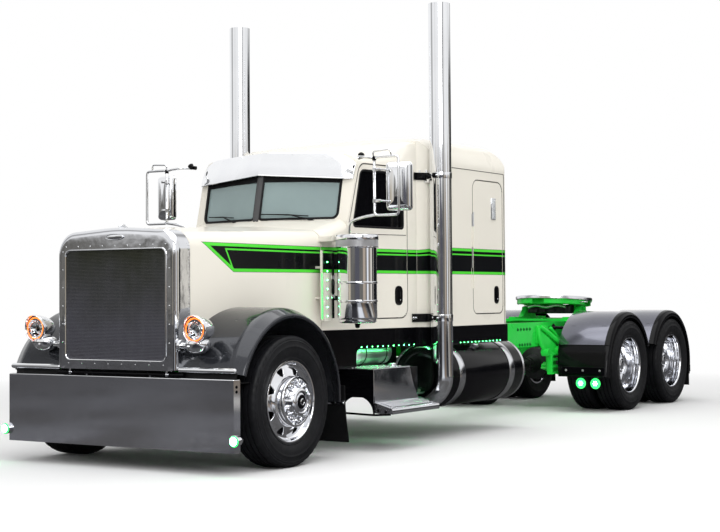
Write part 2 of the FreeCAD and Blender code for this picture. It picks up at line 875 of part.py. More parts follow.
def grille_shell():
    """Crowned shell round the screen, open at the back, with the two pivot lugs under it."""
    half, wall = dim("shell_half"), dim("shell_wall")
    front, back = along(-dim("shell_front")), along(-dim("shell_back"))
    crown = 40
    side_top = dim("shell_top") - crown
    depth = back - front

    def frame(name, inset, start, length, top_radius):
        corners = [
            (-half + inset, dim("shell_low") + inset),
            (half - inset, dim("shell_low") + inset),
            (half - inset, side_top - inset, top_radius),
            (0, dim("shell_top") - inset, 2500),
            (-half + inset, side_top - inset, top_radius),
        ]
        return prism(name, "XZ", (0, start, 0), corners, length, back=True)

    outer = frame("shell_outer", 0, front, depth, 165)
    hollow = frame("shell_hollow", wall, front + wall, depth, 145)
    fit = dim("fit")
    opening_half = dim("screen_half") + fit
    opening = prism(
        "shell_opening",
        "XZ",
        (0, front - 10, 0),
        [
            (-opening_half, dim("screen_low") - fit, 40),
            (opening_half, dim("screen_low") - fit, 40),
            (opening_half, dim("screen_top") + fit, 60),
            (-opening_half, dim("screen_top") + fit, 60),
        ],
        wall + 20,
        back=True,
    )
    tray_half = half - wall * 2
    tray_low = (-tray_half, front + wall, dim("shell_low") - 5)
    tray = box("shell_tray_cut", tray_low, (tray_half * 2, depth, wall + 10))
    solid = cut("shell_skin", outer, hollow, opening, tray)
    rounded = doc.addObject("Part::Fillet", "shell_rounded")
    rounded.Base = solid
    doc.recompute()
    front_y = float(front)
    edges = []
    for index, edge in enumerate(solid.Shape.Edges, start=1):
        bounds = edge.BoundBox
        flat = abs(bounds.YMin - front_y) < 0.01 and abs(bounds.YMax - front_y) < 0.01
        outside = max(abs(bounds.XMin), abs(bounds.XMax)) > float(opening_half) + 20
        upper = bounds.ZMax > float(dim("screen_top")) + 30
        if flat and (outside or upper) and bounds.ZMax > float(dim("shell_low")) + 5:
            edges.append((index, 16.0, 16.0))
    rounded.Edges = edges
    pivot_y = along(-dim("pivot_forward"))
    lugs = []
    stem = dim("shell_low") - dim("pivot_height") + 5
    for side, x in (("left", half - 122), ("right", -half + 102)):
        lugs.append(rod(f"lug_eye_{side}", "X", (x, pivot_y, dim("pivot_height")), 21, 20))
        lugs.append(box(f"lug_stem_{side}", (x, pivot_y - 21, dim("pivot_height")), (20, 42, stem)))
        plate_low = (x - 20, front + wall - 5, dim("shell_low"))
        lugs.append(box(f"lug_plate_{side}", plate_low, (60, depth - wall, 16)))
    whole = fuse("shell_and_lugs", rounded, *lugs)
    bore_radius = dim("pivot_radius") + dim("running")
    bore = rod("lug_bore", "X", (-half, pivot_y, dim("pivot_height")), bore_radius, half * 2)
    node("grille_shell", cut("grille_shell_body", whole, bore))
    screen = prism(
        "screen_plate",
        "XZ",
        (0, front + 5, 0),
        [
            (-dim("screen_half"), dim("screen_low"), 40),
            (dim("screen_half"), dim("screen_low"), 40),
            (dim("screen_half"), dim("screen_top"), 60),
            (-dim("screen_half"), dim("screen_top"), 60),
        ],
        6,
        back=True,
    )
    node("grille_screen", screen)


shoulder_drop = 75
shoulder_round = 120
crown_round = 2500


def crowned(name, y, half, top, low):
    """A cross-section with upright sides, rolled shoulders and a slightly crowned top."""
    return outline(
        name,
        "XZ",
        (0, y, 0),
        [
            (-half, low),
            (half, low),
            (half, top - shoulder_drop, shoulder_round),
            (0, top, crown_round),
            (-half, top - shoulder_drop, shoulder_round),
        ],
    )


def hood():
    """Tapering crowned cover from the grille shell to the cowl, cut away over the fenders."""
    front, rear = along(-dim("shell_back")), along(dim("hood_rear"))
    front_half, front_top = dim("shell_half") - 6, dim("shell_top") + 8
    rear_half, rear_top = dim("hood_rear_half"), dim("hood_rear_top")
    wall, low = dim("hood_wall"), dim("hood_low")
    outer = loft(
        "hood_outer",
        crowned("hood_front", front, front_half, front_top, low),
        crowned("hood_back", rear, rear_half, rear_top, low),
    )
    inner = loft(
        "hood_inner",
        crowned("hood_front_inside", front - 1, front_half - wall, front_top - wall, low - 5),
        crowned("hood_back_inside", rear + 1, rear_half - wall, rear_top - wall, low - 5),
    )
    arch_radius = dim("tyre_radius") + dim("fender_gap")
    arch = rod("hood_arch", "X", (-1000, along(0), wheel_height), arch_radius, 2000)
    node("hood", cut("hood_skin", outer, inner, arch))


def front_fenders():
    """Round crowned fenders over the steered wheels, with a turned-down lip and an inner wall."""
    rear_angle, front_angle = -4, 160

    def fender(name):
        wall, top = dim("fender_wall"), dim("tyre_radius") + dim("fender_gap")
        outer, inner = dim("fender_outer"), dim("shell_half")
        corners = [
            (inner, top - 138),
            (inner + wall, top - 138),
            (inner + wall, top - wall),
            (outer - 110, top - wall - 6, 100),
            (outer - wall, top - 62, 14),
            (outer - wall, top - 84),
            (outer, top - 84),
            (outer, top - 56, 22),
            (outer - 106, top - 4, 108),
            (inner, top),
        ]
        return turned(name, "X", (0, along(0), wheel_height), corners, front_angle - rear_angle, rear_angle)

    both_sides("front_fenders", fender)


lamp_x = 812
lamp_height = 1100
lamp_face = 775


def headlights():
    """Round bullet lamps, each on a bracket from the side of the shell."""

    def lamp(name):
        face = along(-lamp_face)
        bullet = turned(
            f"{name}_bullet",
            "Y",
            (lamp_x, 0, lamp_height),
            [
                (face - 25, 100, 3),
                (face + 55, 106),
                (face + 120, 84, 120),
                (face + 205, 0),
                (face, 0),
                (face, 92),
                (face - 25, 92, 3),
            ],
        )
        reach = lamp_x + 24 - dim("shell_half")
        arm = box(f"{name}_arm", (dim("shell_half"), face + 60, lamp_height - 135), (reach, 50, 40))
        post = rod(f"{name}_post", "Z", (lamp_x, face + 85, lamp_height - 135), 22, 60)
        return fuse(f"{name}_body", bullet, arm, post)

    both_sides("headlights", lamp)


# ---------------------------------------------------------------- cab

roof_slope = 0.115
screen_lean = 0.21
pillar_width = 30
pane_inset = 15
pane_low = 22
pane_top = 2455


def side_half(back):
    """Half width of the cab's outer face a distance behind the front axle."""
    taper = (dim("cab_half") - dim("cowl_half")) / (dim("cab_rear") - dim("cowl_front"))
    return dim("cowl_half") + (back - dim("cowl_front")) * taper


side_angle = math.degrees(
    math.atan2(
        float(dim("cab_half") - dim("cowl_half")),
        float(dim("cab_rear") - dim("cowl_front")),
    )
)
SIDE_TURN = FreeCAD.Rotation(FreeCAD.Vector(0, 0, 1), -side_angle)
UPRIGHT = FreeCAD.Rotation()


def on_side(back, out=0):
    """A place on the cab's outer face, or a little outside it, with no height."""
    radians = math.radians(side_angle)
    return side_half(back) + out * math.cos(radians), along(back) - out * math.sin(radians)


def roof_height(back):
    """Height of the crowned cab roof on the centre plane."""
    return dim("cab_roof") + (back - dim("screen_nose")) * roof_slope


def cab_tunnel(name, inset, low):
    """The cab's sides and roof: narrow and low at the cowl, wide and high at the sleeper."""
    sections = []
    for end, back, reach in (("front", dim("cowl_front"), inset), ("rear", dim("cab_rear"), inset * 0.2)):
        half = side_half(back) - inset
        roof = roof_height(back) - inset
        corners = [
            (-half, low),
            (half, low),
            (half, roof - 80, 130),
            (0, roof, 3000),
            (-half, roof - 80, 130),
        ]
        sections.append(outline(f"{name}_{end}", "XZ", (0, along(back) + reach, 0), corners))
    return loft(f"{name}_tunnel", *sections)


def cab_brow(name, inset):
    """The upper cab: the screen's vee and its posts, leaning back as they rise."""
    wide = dim("cab_half") + 20
    rear = along(dim("cab_rear")) + 60
    door_slope = dim("door_lean") / (dim("door_top") - dim("window_low"))
    sections = []
    for end, height in (("low", dim("glass_low") - 12 - inset), ("high", roof_height(dim("cab_rear")) + 40)):
        rise = height - dim("glass_low")
        nose = along(dim("screen_nose")) + rise * screen_lean + inset
        corner = nose + dim("screen_sweep")
        post_back = dim("door_front") + (height - dim("window_low")) * door_slope - dim("seam") - pillar_width
        post = along(post_back) + inset
        post_half = side_half(post_back) - inset
        corner_half = dim("screen_corner") - inset * 0.6
        right_side = [(-corner_half, corner), (-post_half, post), (-wide, post), (-wide, rear)]
        left_side = [(wide, rear), (wide, post), (post_half, post), (corner_half, corner)]
        corners = left_side + [(0, nose)] + right_side
        sections.append(outline(f"{name}_brow_{end}", "XY", (0, 0, height), corners))
    return loft(f"{name}_brow", *sections)


def cab_solid(name, inset, low):
    """The cab's outer or inner form."""
    wide = dim("cab_half") + 20
    meet = dim("screen_nose") + dim("screen_sweep")
    rear = along(dim("cab_rear")) + inset * 0.2
    shoulder = dim("glass_low") - 8 - inset
    front_half, back_half = dim("cowl_half") + 4 - inset, side_half(meet) + 4 - inset
    front_top, back_top = dim("hood_rear_top") - inset, dim("glass_low") + 80 - inset
    cowl = loft(
        f"{name}_cowl",
        crowned(f"{name}_cowl_front", along(dim("cowl_front")) + inset, front_half, front_top, low),
        crowned(f"{name}_cowl_back", along(meet), back_half, back_top, low),
    )
    lower = box(f"{name}_lower", (-wide, along(meet), low), (wide * 2, rear - along(meet), shoulder - low))
    levels = fuse(f"{name}_levels", cowl, lower, cab_brow(name, inset))
    return common(name, cab_tunnel(name, inset, low), levels)


def screen_outline(side, grow):
    """One half of the divided screen, seen from the front."""
    near, far = 30 - grow, dim("screen_corner") - 26 + grow
    low, top = dim("glass_low") + pane_low - grow, pane_top + grow
    corners = [(near, low, 30), (far, low, 50), (far, top, 40), (near, top, 30)]
    if side == "right":
        corners = [(-u, *rest) for u, *rest in reversed(corners)]
    return corners


def screen_prism(name, side, grow):
    start = along(dim("screen_nose") - 80)
    return prism(name, "XZ", (0, start, 0), screen_outline(side, grow), 560, back=True)


def hinge(name, place, turn, height, segment):
    """A three-part hinge on a vertical pin: its outer knuckles and its middle one, each with its leaf."""
    radius = dim("hinge_radius")
    skin = radius + 1
    bore = radius / 2
    leaf = 36

    def part(label, low, length, direction):
        corners = [(-skin, 0), (-skin, direction * leaf), (-skin + 4, direction * leaf), (-skin + 4, 0)]
        if direction > 0:
            corners.reverse()
        knuckle_body = rod(f"{name}_{label}_knuckle", "Z", (*place, low), radius, length)
        plate = prism(f"{name}_{label}_leaf", "XY", (*place, low), corners, length, turn=turn)
        return fuse(f"{name}_{label}", knuckle_body, plate)

    gap = dim("fit")
    low = part("low", height - segment * 1.5, segment - gap, -1)
    high = part("high", height + segment / 2 + gap, segment - gap, -1)
    middle = part("middle", height - segment / 2, Size(segment, f"({segment})"), 1)
    pin = rod(f"{name}_pin", "Z", (*place, height - segment), bore, segment * 2)
    space = rod(f"{name}_bore", "Z", (*place, height - segment), bore + dim("running"), segment * 2)
    return [low, high, pin], cut(f"{name}_moving", middle, space)


def door_outline(grow):
    """The cab door in its own plane, from its front edge; that edge leans back above the belt line."""
    length = (dim("door_rear") - dim("door_front")) / math.cos(math.radians(side_angle))
    front, rear = Size(0, "(0)") - grow, length + grow
    low, top = dim("door_low") - grow, dim("door_top") + grow
    return [
        (front, low, 60 + grow),
        (rear, low, 90 + grow),
        (rear, top, 60 + grow),
        (front + dim("door_lean"), top, 90 + grow),
        (front, dim("window_low"), 200),
    ]


def door_hinge_place():
    return on_side(dim("door_front") - dim("seam") / 2, dim("hinge_radius") + 1)


def door_prism(name, corners, depth, thickness):
    """An outline in the door's plane, starting a depth inside its outer face."""
    x, y = on_side(dim("door_front"), -depth)
    return prism(name, "YZ", (x, y, 0), corners, thickness, turn=SIDE_TURN)


def cab_shell():
    """Hollow cab, open at the back into the sleeper, with its door and screen openings cut."""
    wall = dim("cab_wall")
    outer = cab_solid("cab_outer", 0, dim("cab_floor"))
    inner = cab_solid("cab_inner", wall, dim("cab_floor") + wall)
    doorway = door_prism("doorway", door_outline(dim("seam")), wall + 30, wall + 60)
    screens = [screen_prism(f"screen_cut_{side}", side, 0) for side in ("left", "right")]
    skin = cut("cab_skin", outer, inner, doorway, mirror("doorway_right", doorway), *screens)
    fixed = []
    for order, height in door_hinges:
        fixed += hinge(f"door_hinge_{order}", door_hinge_place(), SIDE_TURN, height, door_hinge_segment)[0]
    posts = fuse("door_hinge_posts", *fixed)
    node("cab_shell", fuse("cab_shell_body", skin, posts, mirror("door_hinge_posts_right", posts)))


door_hinges = (("low", 1320), ("high", 1740))
door_hinge_segment = 40


def screen_strip(name, inset, thickness):
    """A band that follows the screen's vee and lean, a depth inside its outer face."""
    sections = []
    for end, height in (("low", dim("glass_low")), ("high", dim("glass_low") + 600)):
        nose = along(dim("screen_nose")) + (height - dim("glass_low")) * screen_lean + inset
        half = dim("screen_corner") - 10
        sweep = dim("screen_sweep") * (half / dim("screen_corner"))
        corners = [
            (half, nose + sweep),
            (0, nose),
            (-half, nose + sweep),
            (-half, nose + sweep + thickness),
            (0, nose + thickness),
            (half, nose + sweep + thickness),
        ]
        sections.append(outline(f"{name}_{end}", "XY", (0, 0, height), corners))
    return loft(name, *sections)


def windshield():
    """Two flat panes that meet in a shallow vee at the centre post."""
    panes = []
    for side in ("left", "right"):
        strip = screen_strip(f"pane_strip_{side}", pane_inset, dim("glass_thickness"))
        panes.append(common(f"pane_{side}", strip, screen_prism(f"pane_area_{side}", side, -dim("fit"))))
    node("windshield", group("windshield_panes", *panes))


def sun_visor():
    """Drop visor from the roof to just over the screen, with a return round each post."""
    tip_low, peak_low = 2368, 2405
    peak, corner_half, end_half = 1140, 775, 838
    lean, thickness = 0.5, 10
    sections = []
    for end, height in (("low", tip_low - 20), ("high", dim("cab_roof") + 60)):
        nose = along(peak) + (height - peak_low) * lean
        corner = nose + corner_half * (dim("screen_sweep") / dim("screen_corner"))
        tip = corner + 68
        corners = [
            (-end_half, tip),
            (-corner_half, corner),
            (0, nose),
            (corner_half, corner),
            (end_half, tip),
            (end_half - thickness, tip + 6),
            (corner_half - 4, corner + thickness),
            (0, nose + thickness),
            (-corner_half + 4, corner + thickness),
            (-end_half + thickness, tip + 6),
        ]
        sections.append(outline(f"visor_{end}", "XY", (0, 0, height), corners))
    face = prism(
        "visor_face",
        "XZ",
        (0, along(1000), 0),
        [
            (-end_half, tip_low),
            (-corner_half, tip_low),
            (0, peak_low),
            (corner_half, tip_low),
            (end_half, tip_low),
            (end_half, dim("cab_roof") + 40),
            (-end_half, dim("cab_roof") + 40),
        ],
        900,
        back=True,
    )
    form = cab_solid("visor_cab_outer", -dim("fit"), dim("cab_floor"))
    node("sun_visor", cut("sun_visor_body", common("visor_band", loft("visor_strip", *sections), face), form))


def window_outline(grow):
    """The side window in the door's plane."""
    start = dim("door_front")
    front, rear = dim("window_front") - start - grow, dim("window_rear") - start + grow
    low, top = dim("window_low") - grow, dim("window_top") + grow
    return [(front, low, 30), (rear, low, 30), (rear, top, 40), (front + 115, top, 60)]


def cab_doors():
    wall = dim("cab_wall")
    panel = door_prism("door_panel", door_outline(0), wall, wall)
    opening = door_prism("door_window", window_outline(0), wall + 5, wall + 10)
    moving = []
    for order, height in door_hinges:
        name = f"door_{order}_hinge"
        moving.append(hinge(name, door_hinge_place(), SIDE_TURN, height, door_hinge_segment)[1])
    left = node("left_door", fuse("left_door_body", cut("left_door_panel", panel, opening), *moving))
    node("right_door", mirror("right_door_body", left))
    pane = door_prism("left_door_pane", window_outline(-dim("fit")), 30, dim("glass_thickness"))
    glass = node("left_door_glass", pane)
    node("right_door_glass", mirror("right_door_pane", glass))


mirror_inner = 1147
mirror_outer = 1391
mirror_back = 1285
mirror_low = 2030
mirror_high = 2515


def mirrors():
    """Mirror head in a bent tube loop, held to the door by an upper and a lower arm."""
    y = along(mirror_back)
    low_foot = on_side(dim("door_front") + 45)
    high_foot = on_side(dim("door_front") + 250)
    loop = [
        (*high_foot, 2475),
        (high_foot[0] + 45, high_foot[1] - 5, 2475),
        (high_foot[0] + 100, y + 60, mirror_high),
        (mirror_outer, y, mirror_high),
        (mirror_outer, y, mirror_low),
        (mirror_inner, y, mirror_low),
        (low_foot[0] + 55, low_foot[1] - 5, 1890),
        (*low_foot, 1890),
    ]
    tube = pipe("mirror_tube", loop, 11, 24)
    feet = [
        prism(
            f"mirror_foot_{name}",
            "YZ",
            (*place, 0),
            [(-22, height - 22, 8), (22, height - 22, 8), (22, height + 22, 8), (-22, height + 22, 8)],
            14,
            turn=SIDE_TURN,
        )
        for name, place, height in (("low", low_foot, 1890), ("high", high_foot, 2475))
    ]
    post = rod("mirror_post", "Z", (mirror_inner + 26, y, mirror_low - 6), 9, mirror_high - mirror_low + 6)
    head = prism(
        "mirror_head",
        "XY",
        (0, 0, mirror_low + 45),
        [
            (mirror_inner + 44, y - 55, 20),
            (mirror_outer - 40, y - 55, 20),
            (mirror_outer - 24, y + 25),
            (mirror_inner + 28, y + 25),
        ],
        385,
    )
    clamps = [
        box(f"mirror_clamp_{name}", (mirror_inner + 14, y - 12, height), (40, 24, 30))
        for name, height in (("low", mirror_low + 55), ("high", mirror_high - 95))
    ]
    whole = fuse("left_mirror_solid", tube, *feet, post, head, *clamps)
    behind = door_prism("mirror_door_face", door_outline(60), dim("cab_wall"), dim("cab_wall"))
    left = node("left_mirror", cut("left_mirror_body", whole, behind))
    node("right_mirror", mirror("right_mirror_body", left))


def interior():
    """Dash with the steering column and wheel, two seats and the bunk."""
    floor = dim("cab_floor") + dim("cab_wall")
    dash_front = 1195
    half = side_half(dash_front) - dim("cab_wall") - 30
    dash = prism(
        "dash_panel",
        "YZ",
        (-half, 0, 0),
        [
            (along(dash_front), 1500),
            (along(1420), 1560, 40),
            (along(1440), 1800, 60),
            (along(dash_front), 1830),
        ],
        half * 2,
    )
    legs = box("dash_legs", (-half, along(dash_front), floor), (half * 2, 40, 1520 - floor))
    column = doc.addObject("Part::Feature", "steering_column")
    foot = vector((450, along(1380), 1640))
    hub = vector((450, along(1560), 1790))
    slope = hub - foot
    column.Shape = Part.makeCylinder(28, slope.Length, foot, slope)
    ring_radius = 215
    ring = doc.addObject("Part::Feature", "steering_ring")
    sideways = FreeCAD.Vector(1, 0, 0)
    spoke = Part.makeCylinder(16, ring_radius * 2, hub - sideways * ring_radius, sideways)
    ring.Shape = Part.makeTorus(ring_radius, 15, hub, slope).fuse(spoke)
    node("dashboard", fuse("dashboard_body", dash, legs, column, ring))

    def seat(name):
        inner, width = 215, 480
        base = box(f"{name}_base", (inner + 60, along(1730), floor), (width - 120, 400, 280))
        cushion = prism(
            f"{name}_cushion",
            "YZ",
            (inner, 0, 0),
            [
                (along(1680), floor + 270, 30),
                (along(2220), floor + 270, 30),
                (along(2330), floor + 1010, 50),
                (along(2220), floor + 1040, 50),
                (along(2110), floor + 430, 30),
                (along(1680), floor + 420, 50),
            ],
            width,
        )
        return fuse(f"{name}_body", base, cushion)

    both_sides("seats", seat)
    inside = dim("sleeper_half") - dim("sleeper_wall") - 10
    bunk_front = along(dim("sleeper_door_front") - 60)
    bunk_depth = along(dim("sleeper_rear")) - dim("sleeper_wall") - 10 - bunk_front
    base = box("bunk_base", (-inside + 60, bunk_front, floor), ((inside - 60) * 2, bunk_depth, 430))
    mattress_low = (-inside + 10, bunk_front - 20, floor + 430)
    mattress = box("bunk_mattress", mattress_low, ((inside - 10) * 2, bunk_depth + 20, 150))
    node("bunk", fuse("bunk_body", base, mattress))


# ---------------------------------------------------------------- sleeper

flare_length = 160


def sleeper_side(back):
    """X of the sleeper's outer face on the flare between the cab and its full width."""
    slope = (dim("sleeper_half") - dim("cab_half")) / flare_length
    return dim("cab_half") + (back - dim("cab_rear")) * slope


def sleeper_solid(name, inset, low):
    """The sleeper's outer or inner form, from its plan, front and side views."""
    half = dim("sleeper_half") - inset
    joint = dim("seam") - inset * 0.4
    front = along(dim("cab_rear")) + joint
    front_half = sleeper_side(dim("cab_rear") + joint) - inset
    flare = along(dim("cab_rear") + flare_length) + inset * 0.4
    rear = along(dim("sleeper_rear")) - inset
    roof = dim("sleeper_roof") - inset
    front_roof = roof_height(dim("cab_rear")) - inset
    plan = prism(
        f"{name}_plan",
        "XY",
        (0, 0, low),
        [
            (front_half, front),
            (half, flare, 40),
            (half, rear, 70 - inset),
            (-half, rear, 70 - inset),
            (-half, flare, 40),
            (-front_half, front),
        ],
        2000,
    )
    section = prism(
        f"{name}_section",
        "XZ",
        (0, front - 20, 0),
        [
            (-half, low),
            (half, low),
            (half, roof - 95, 250 - inset),
            (0, roof, 3000),
            (-half, roof - 95, 250 - inset),
        ],
        rear - front + 40,
        back=True,
    )
    side = prism(
        f"{name}_side",
        "YZ",
        (-half - 20, 0, 0),
        [
            (front - 20, low),
            (rear, low),
            (rear, roof, 450 - inset),
            (front + 700, roof, 1200),
            (front - 20, front_roof),
        ],
        (half + 20) * 2,
    )
    return common(name, plan, section, side)


sleeper_hinge_height = 1700
sleeper_hinge_segment = 200


def sleeper():
    """Hollow sleeper, open at the front into the cab, with an access door each side."""
    wall, seam = dim("sleeper_wall"), dim("seam")
    outer = sleeper_solid("sleeper_outer", 0, dim("cab_floor"))
    inner = sleeper_solid("sleeper_inner", wall, dim("cab_floor") + dim("cab_wall"))
    front, rear = dim("sleeper_door_front"), dim("sleeper_door_rear")
    low, top = dim("sleeper_door_low"), dim("sleeper_door_top")
    half = dim("sleeper_half")

    def door_shape(name, x, depth, grow):
        corners = [
            (along(front) - grow, low - grow, 70 + grow),
            (along(rear) + grow, low - grow, 70 + grow),
            (along(rear) + grow, top + grow, 90 + grow),
            (along(front) - grow, top + grow, 90 + grow),
        ]
        return prism(name, "YZ", (x, 0, 0), corners, depth)

    place = (half + dim("hinge_radius") + 1, along(front) - seam / 2)
    doorways = door_shape("sleeper_doorways", -half - 10, half * 2 + 20, seam)
    skin = cut("sleeper_skin", outer, inner, doorways)
    fixed, moving = hinge("sleeper_hinge", place, UPRIGHT, sleeper_hinge_height, sleeper_hinge_segment)
    posts = fuse("sleeper_hinge_posts", *fixed)
    node("sleeper_shell", fuse("sleeper_shell_body", skin, posts, mirror("sleeper_hinge_posts_right", posts)))
    panel = door_shape("left_sleeper_panel", half - wall, wall, 0)
    left = node("left_sleeper_door", fuse("left_sleeper_door_body", panel, moving))
    node("right_sleeper_door", mirror("right_sleeper_door_body", left))


def cab_mounts():
    """Rubber blocks between the rails and the floors of the cab and the sleeper."""
    radius = 40
    inset = dim("rail_flange") / 2
    low, height = dim("rail_top"), dim("cab_floor") - dim("rail_top")
    blocks = []
    for index, back in enumerate((1250, 2200, 2600, 3700)):
        for side, x in (("left", dim("rail_half") - inset), ("right", inset - dim("rail_half"))):
            blocks.append(rod(f"cab_mount_{side}_{index}", "Z", (x, along(back), low), radius, height))
    node("cab_mounts", group("cab_mount_set", *blocks))


def skirts():
    """Dark skirts under the cab and sleeper, each with a cut-out over the air tank."""

    def skirt(name):
        wall = 20
        wide = dim("sleeper_half") - 2
        rear = along(dim("sleeper_rear")) - 10
        front = along(dim("cowl_front"))
        bend, turn_out = along(dim("cab_rear")), along(dim("cab_rear") + flare_length)
        front_half, bend_half = dim("cowl_half") - 2, dim("cab_half") - 2
        low, top = dim("skirt_low"), dim("cab_floor")
        band = prism(
            f"{name}_band",
            "XY",
            (0, 0, low),
            [
                (front_half - wall, front),
                (front_half, front),
                (bend_half, bend),
                (wide, turn_out),
                (wide, rear),
                (wide - wall, rear),
                (wide - wall, turn_out + 8),
                (bend_half - wall, bend + 8),
            ],
            top - low,
        )
        notch = box(f"{name}_notch", (front_half, along(1300), low - 5), (200, 620, 75))
        return cut(f"{name}_body", band, notch)

    both_sides("cab_skirts", skirt)


# ---------------------------------------------------------------- side equipment

def air_cleaners():
    """Upright canister ahead of the door, on two straps to a post on the cowl side."""

    def cleaner(name):
        x, y = dim("cleaner_half"), along(dim("cleaner_back"))
        low, top = dim("cleaner_low"), dim("cleaner_top")
        can = turned(
            f"{name}_can",
            "Z",
            (x, y, 0),
            [
                (low - 30, 0),
                (low - 30, 24),
                (low, 30),
                (low, dim("cleaner_radius") - 20, 4),
                (low + 30, dim("cleaner_radius"), 12),
                (top - 124, dim("cleaner_radius")),
                (top - 112, dim("cleaner_lid"), 4),
                (top - 14, dim("cleaner_lid"), 10),
                (top, dim("cleaner_lid") - 40, 20),
                (top, 0),
            ],
        )
        near, far = dim("cleaner_back") - 30, dim("cleaner_back") + 30
        corners = [
            (side_half(near), along(near)),
            (x - 60, along(near)),
            (x - 60, along(far)),
            (side_half(far), along(far)),
        ]
        straps = [
            prism(f"{name}_strap_{index}", "XY", (0, 0, height), corners, 40)
            for index, height in enumerate((1300, 1560))
        ]
        lamp_front, lamp_x = dim("cleaner_back") - 176, x - 228
        panel = box(f"{name}_lamp_panel", (lamp_x, along(lamp_front), low), (6, 140, 600))
        arms = [
            box(f"{name}_lamp_arm_{index}", (lamp_x, along(lamp_front) + 120, height), (60, 60, 20))
            for index, height in enumerate((1310, 1570))
        ]
        return fuse(f"{name}_body", can, *straps, panel, *arms)

    both_sides("air_cleaners", cleaner)


def exhaust_stacks():
    """Straight stack beside the sleeper, open at the top, with an elbow turning under the frame."""

    def stack(name):
        x, y = dim("cab_half") + dim("stack_out"), along(dim("stack_back"))
        radius, wall = dim("stack_radius"), dim("stack_wall")
        bend = 210
        bend_height = 595
        height = dim("stack_top") - bend_height
        pipe_wall = cut(
            f"{name}_tube",
            rod(f"{name}_outside", "Z", (x, y, bend_height), radius, height),
            rod(f"{name}_inside", "Z", (x, y, bend_height + 400), radius - wall, height),
        )
        elbow = doc.addObject("Part::Torus", f"{name}_elbow")
        bind(elbow, "Radius1", Size(bend, f"({bend})"))
        bind(elbow, "Radius2", radius)
        elbow.Angle3 = 90
        turn = FreeCAD.Rotation(FreeCAD.Vector(1, 0, 0), -90)
        elbow.Placement = FreeCAD.Placement(vector((x - bend, y, bend_height)), turn)
        bind_point(elbow, "Placement.Base", (x - bend, y, bend_height))
        run_end = dim("rail_half") + 30
        run_low = bend_height - bend
        run = rod(f"{name}_run", "X", (run_end, y, run_low), radius, x - bend - run_end)
        hanger = box(f"{name}_hanger", (dim("rail_half"), y - 30, run_low), (44, 60, rail_low + 60 - run_low))
        near, far = dim("stack_back") - 25, dim("stack_back") + 25
        clear = dim("fit")
        corners = [
            (sleeper_side(near) + clear, along(near)),
            (x - radius + 10, along(near)),
            (x - radius + 10, along(far)),
            (sleeper_side(far) + clear, along(far)),
        ]
        stays = [
            prism(f"{name}_stay_{index}", "XY", (0, 0, height), corners, 40)
            for index, height in enumerate((1110, 2380))
        ]
        return fuse(f"{name}_body", pipe_wall, elbow, run, hanger, *stays)

    both_sides("exhaust_stacks", stack)


def fuel_tanks():
    """Round tank with rolled ends, a filler and two cradles to the rail."""

    def tank(name):
        radius, x = dim("tank_radius"), dim("tank_half")
        z = dim("tank_top") - radius
        front, rear = along(dim("tank_front")), along(dim("tank_rear"))
        barrel = turned(
            f"{name}_barrel",
            "Y",
            (x, 0, z),
            [
                (front, 0),
                (front, radius - 40),
                (front + 12, radius, 16),
                (rear - 12, radius, 16),
                (rear, radius - 40),
                (rear, 0),
            ],
        )
        shapes = [barrel]
        for index, back in enumerate((dim("tank_front") + 300, dim("tank_rear") - 230)):
            corners = [
                (dim("rail_half"), rail_low + 10),
                (dim("rail_half"), rail_low - 300),
                (x - 60, z - radius - 24),
                (x + 60, z - radius - 24),
                (x + 60, z - radius + 40),
                (x - radius + 60, z),
                (dim("rail_half") + 60, rail_low + 90),
                (dim("rail_half"), rail_low + 90),
            ]
            shapes.append(prism(f"{name}_cradle_{index}", "XZ", (0, along(back), 0), corners, 80, back=True))
        return fuse(f"{name}_body", *shapes)

    both_sides("fuel_tanks", tank)


def step_boxes():
    """Battery box under the door with its top tread and a lower folded step, and the air tank behind."""

    def steps(name):
        inner, outer = 660, 1100
        front, rear = along(1330), along(2090)
        low, top = 410, 708
        rail = dim("rail_half")
        body = box(f"{name}_box", (inner, front, low), (outer - inner, rear - front, top - low))
        nose = outer + 110
        tread = [
            (outer - 120, low - 14),
            (nose - 10, low - 34),
            (nose + 14, low - 64),
            (nose + 6, low - 92),
            (nose - 10, low - 92),
            (nose - 4, low - 62),
            (nose - 18, low - 48),
            (outer - 120, low - 28),
        ]
        shapes = [body, prism(f"{name}_step", "XZ", (0, front - 30, 0), tread, 900, back=True)]
        for index, shift in enumerate((60, 650)):
            shapes.append(box(f"{name}_stay_{index}", (outer - 110, front + shift, low - 26), (40, 30, 27)))
        for index, place in enumerate((front + 200, rear - 180)):
            shapes.append(box(f"{name}_arm_{index}", (rail, place, low + 20), (inner - rail + 1, 80, 60)))
            post_height = rail_low + 100 - low
            shapes.append(box(f"{name}_post_{index}", (rail, place, low + 20), (14, 80, post_height)))
        ends = [
            (front - 30, 0),
            (front - 30, 60),
            (front + 10, 110, 30),
            (rear - 190, 110, 30),
            (rear - 150, 60),
            (rear - 150, 0),
        ]
        shapes.append(turned(f"{name}_air_tank", "Y", (640, 0, 860), ends))
        for index, shift in enumerate((100, 450)):
            shapes.append(box(f"{name}_saddle_{index}", (rail, front + shift, 840), (110, 50, 40)))
        return fuse(f"{name}_body", *shapes)

    both_sides("step_boxes", steps)


def front_mud_flaps():
    """Flap behind each steered wheel, on an arm that drops from the rail."""

    def flap(name):
        y = along(752)
        sheet_body = box(f"{name}_sheet", (720, y, 132), (dim("fender_outer") - 728, 10, 322))
        reach = dim("fender_outer") - 20 - dim("rail_half")
        bar = rod(f"{name}_bar", "X", (dim("rail_half") + 4, y + 20, 430), 12, reach)
        drop = box(f"{name}_drop", (dim("rail_half"), y, 410), (12, 50, rail_low + 100 - 410))
        return fuse(f"{name}_body", sheet_body, bar, drop)

    both_sides("front_mud_flaps", flap)


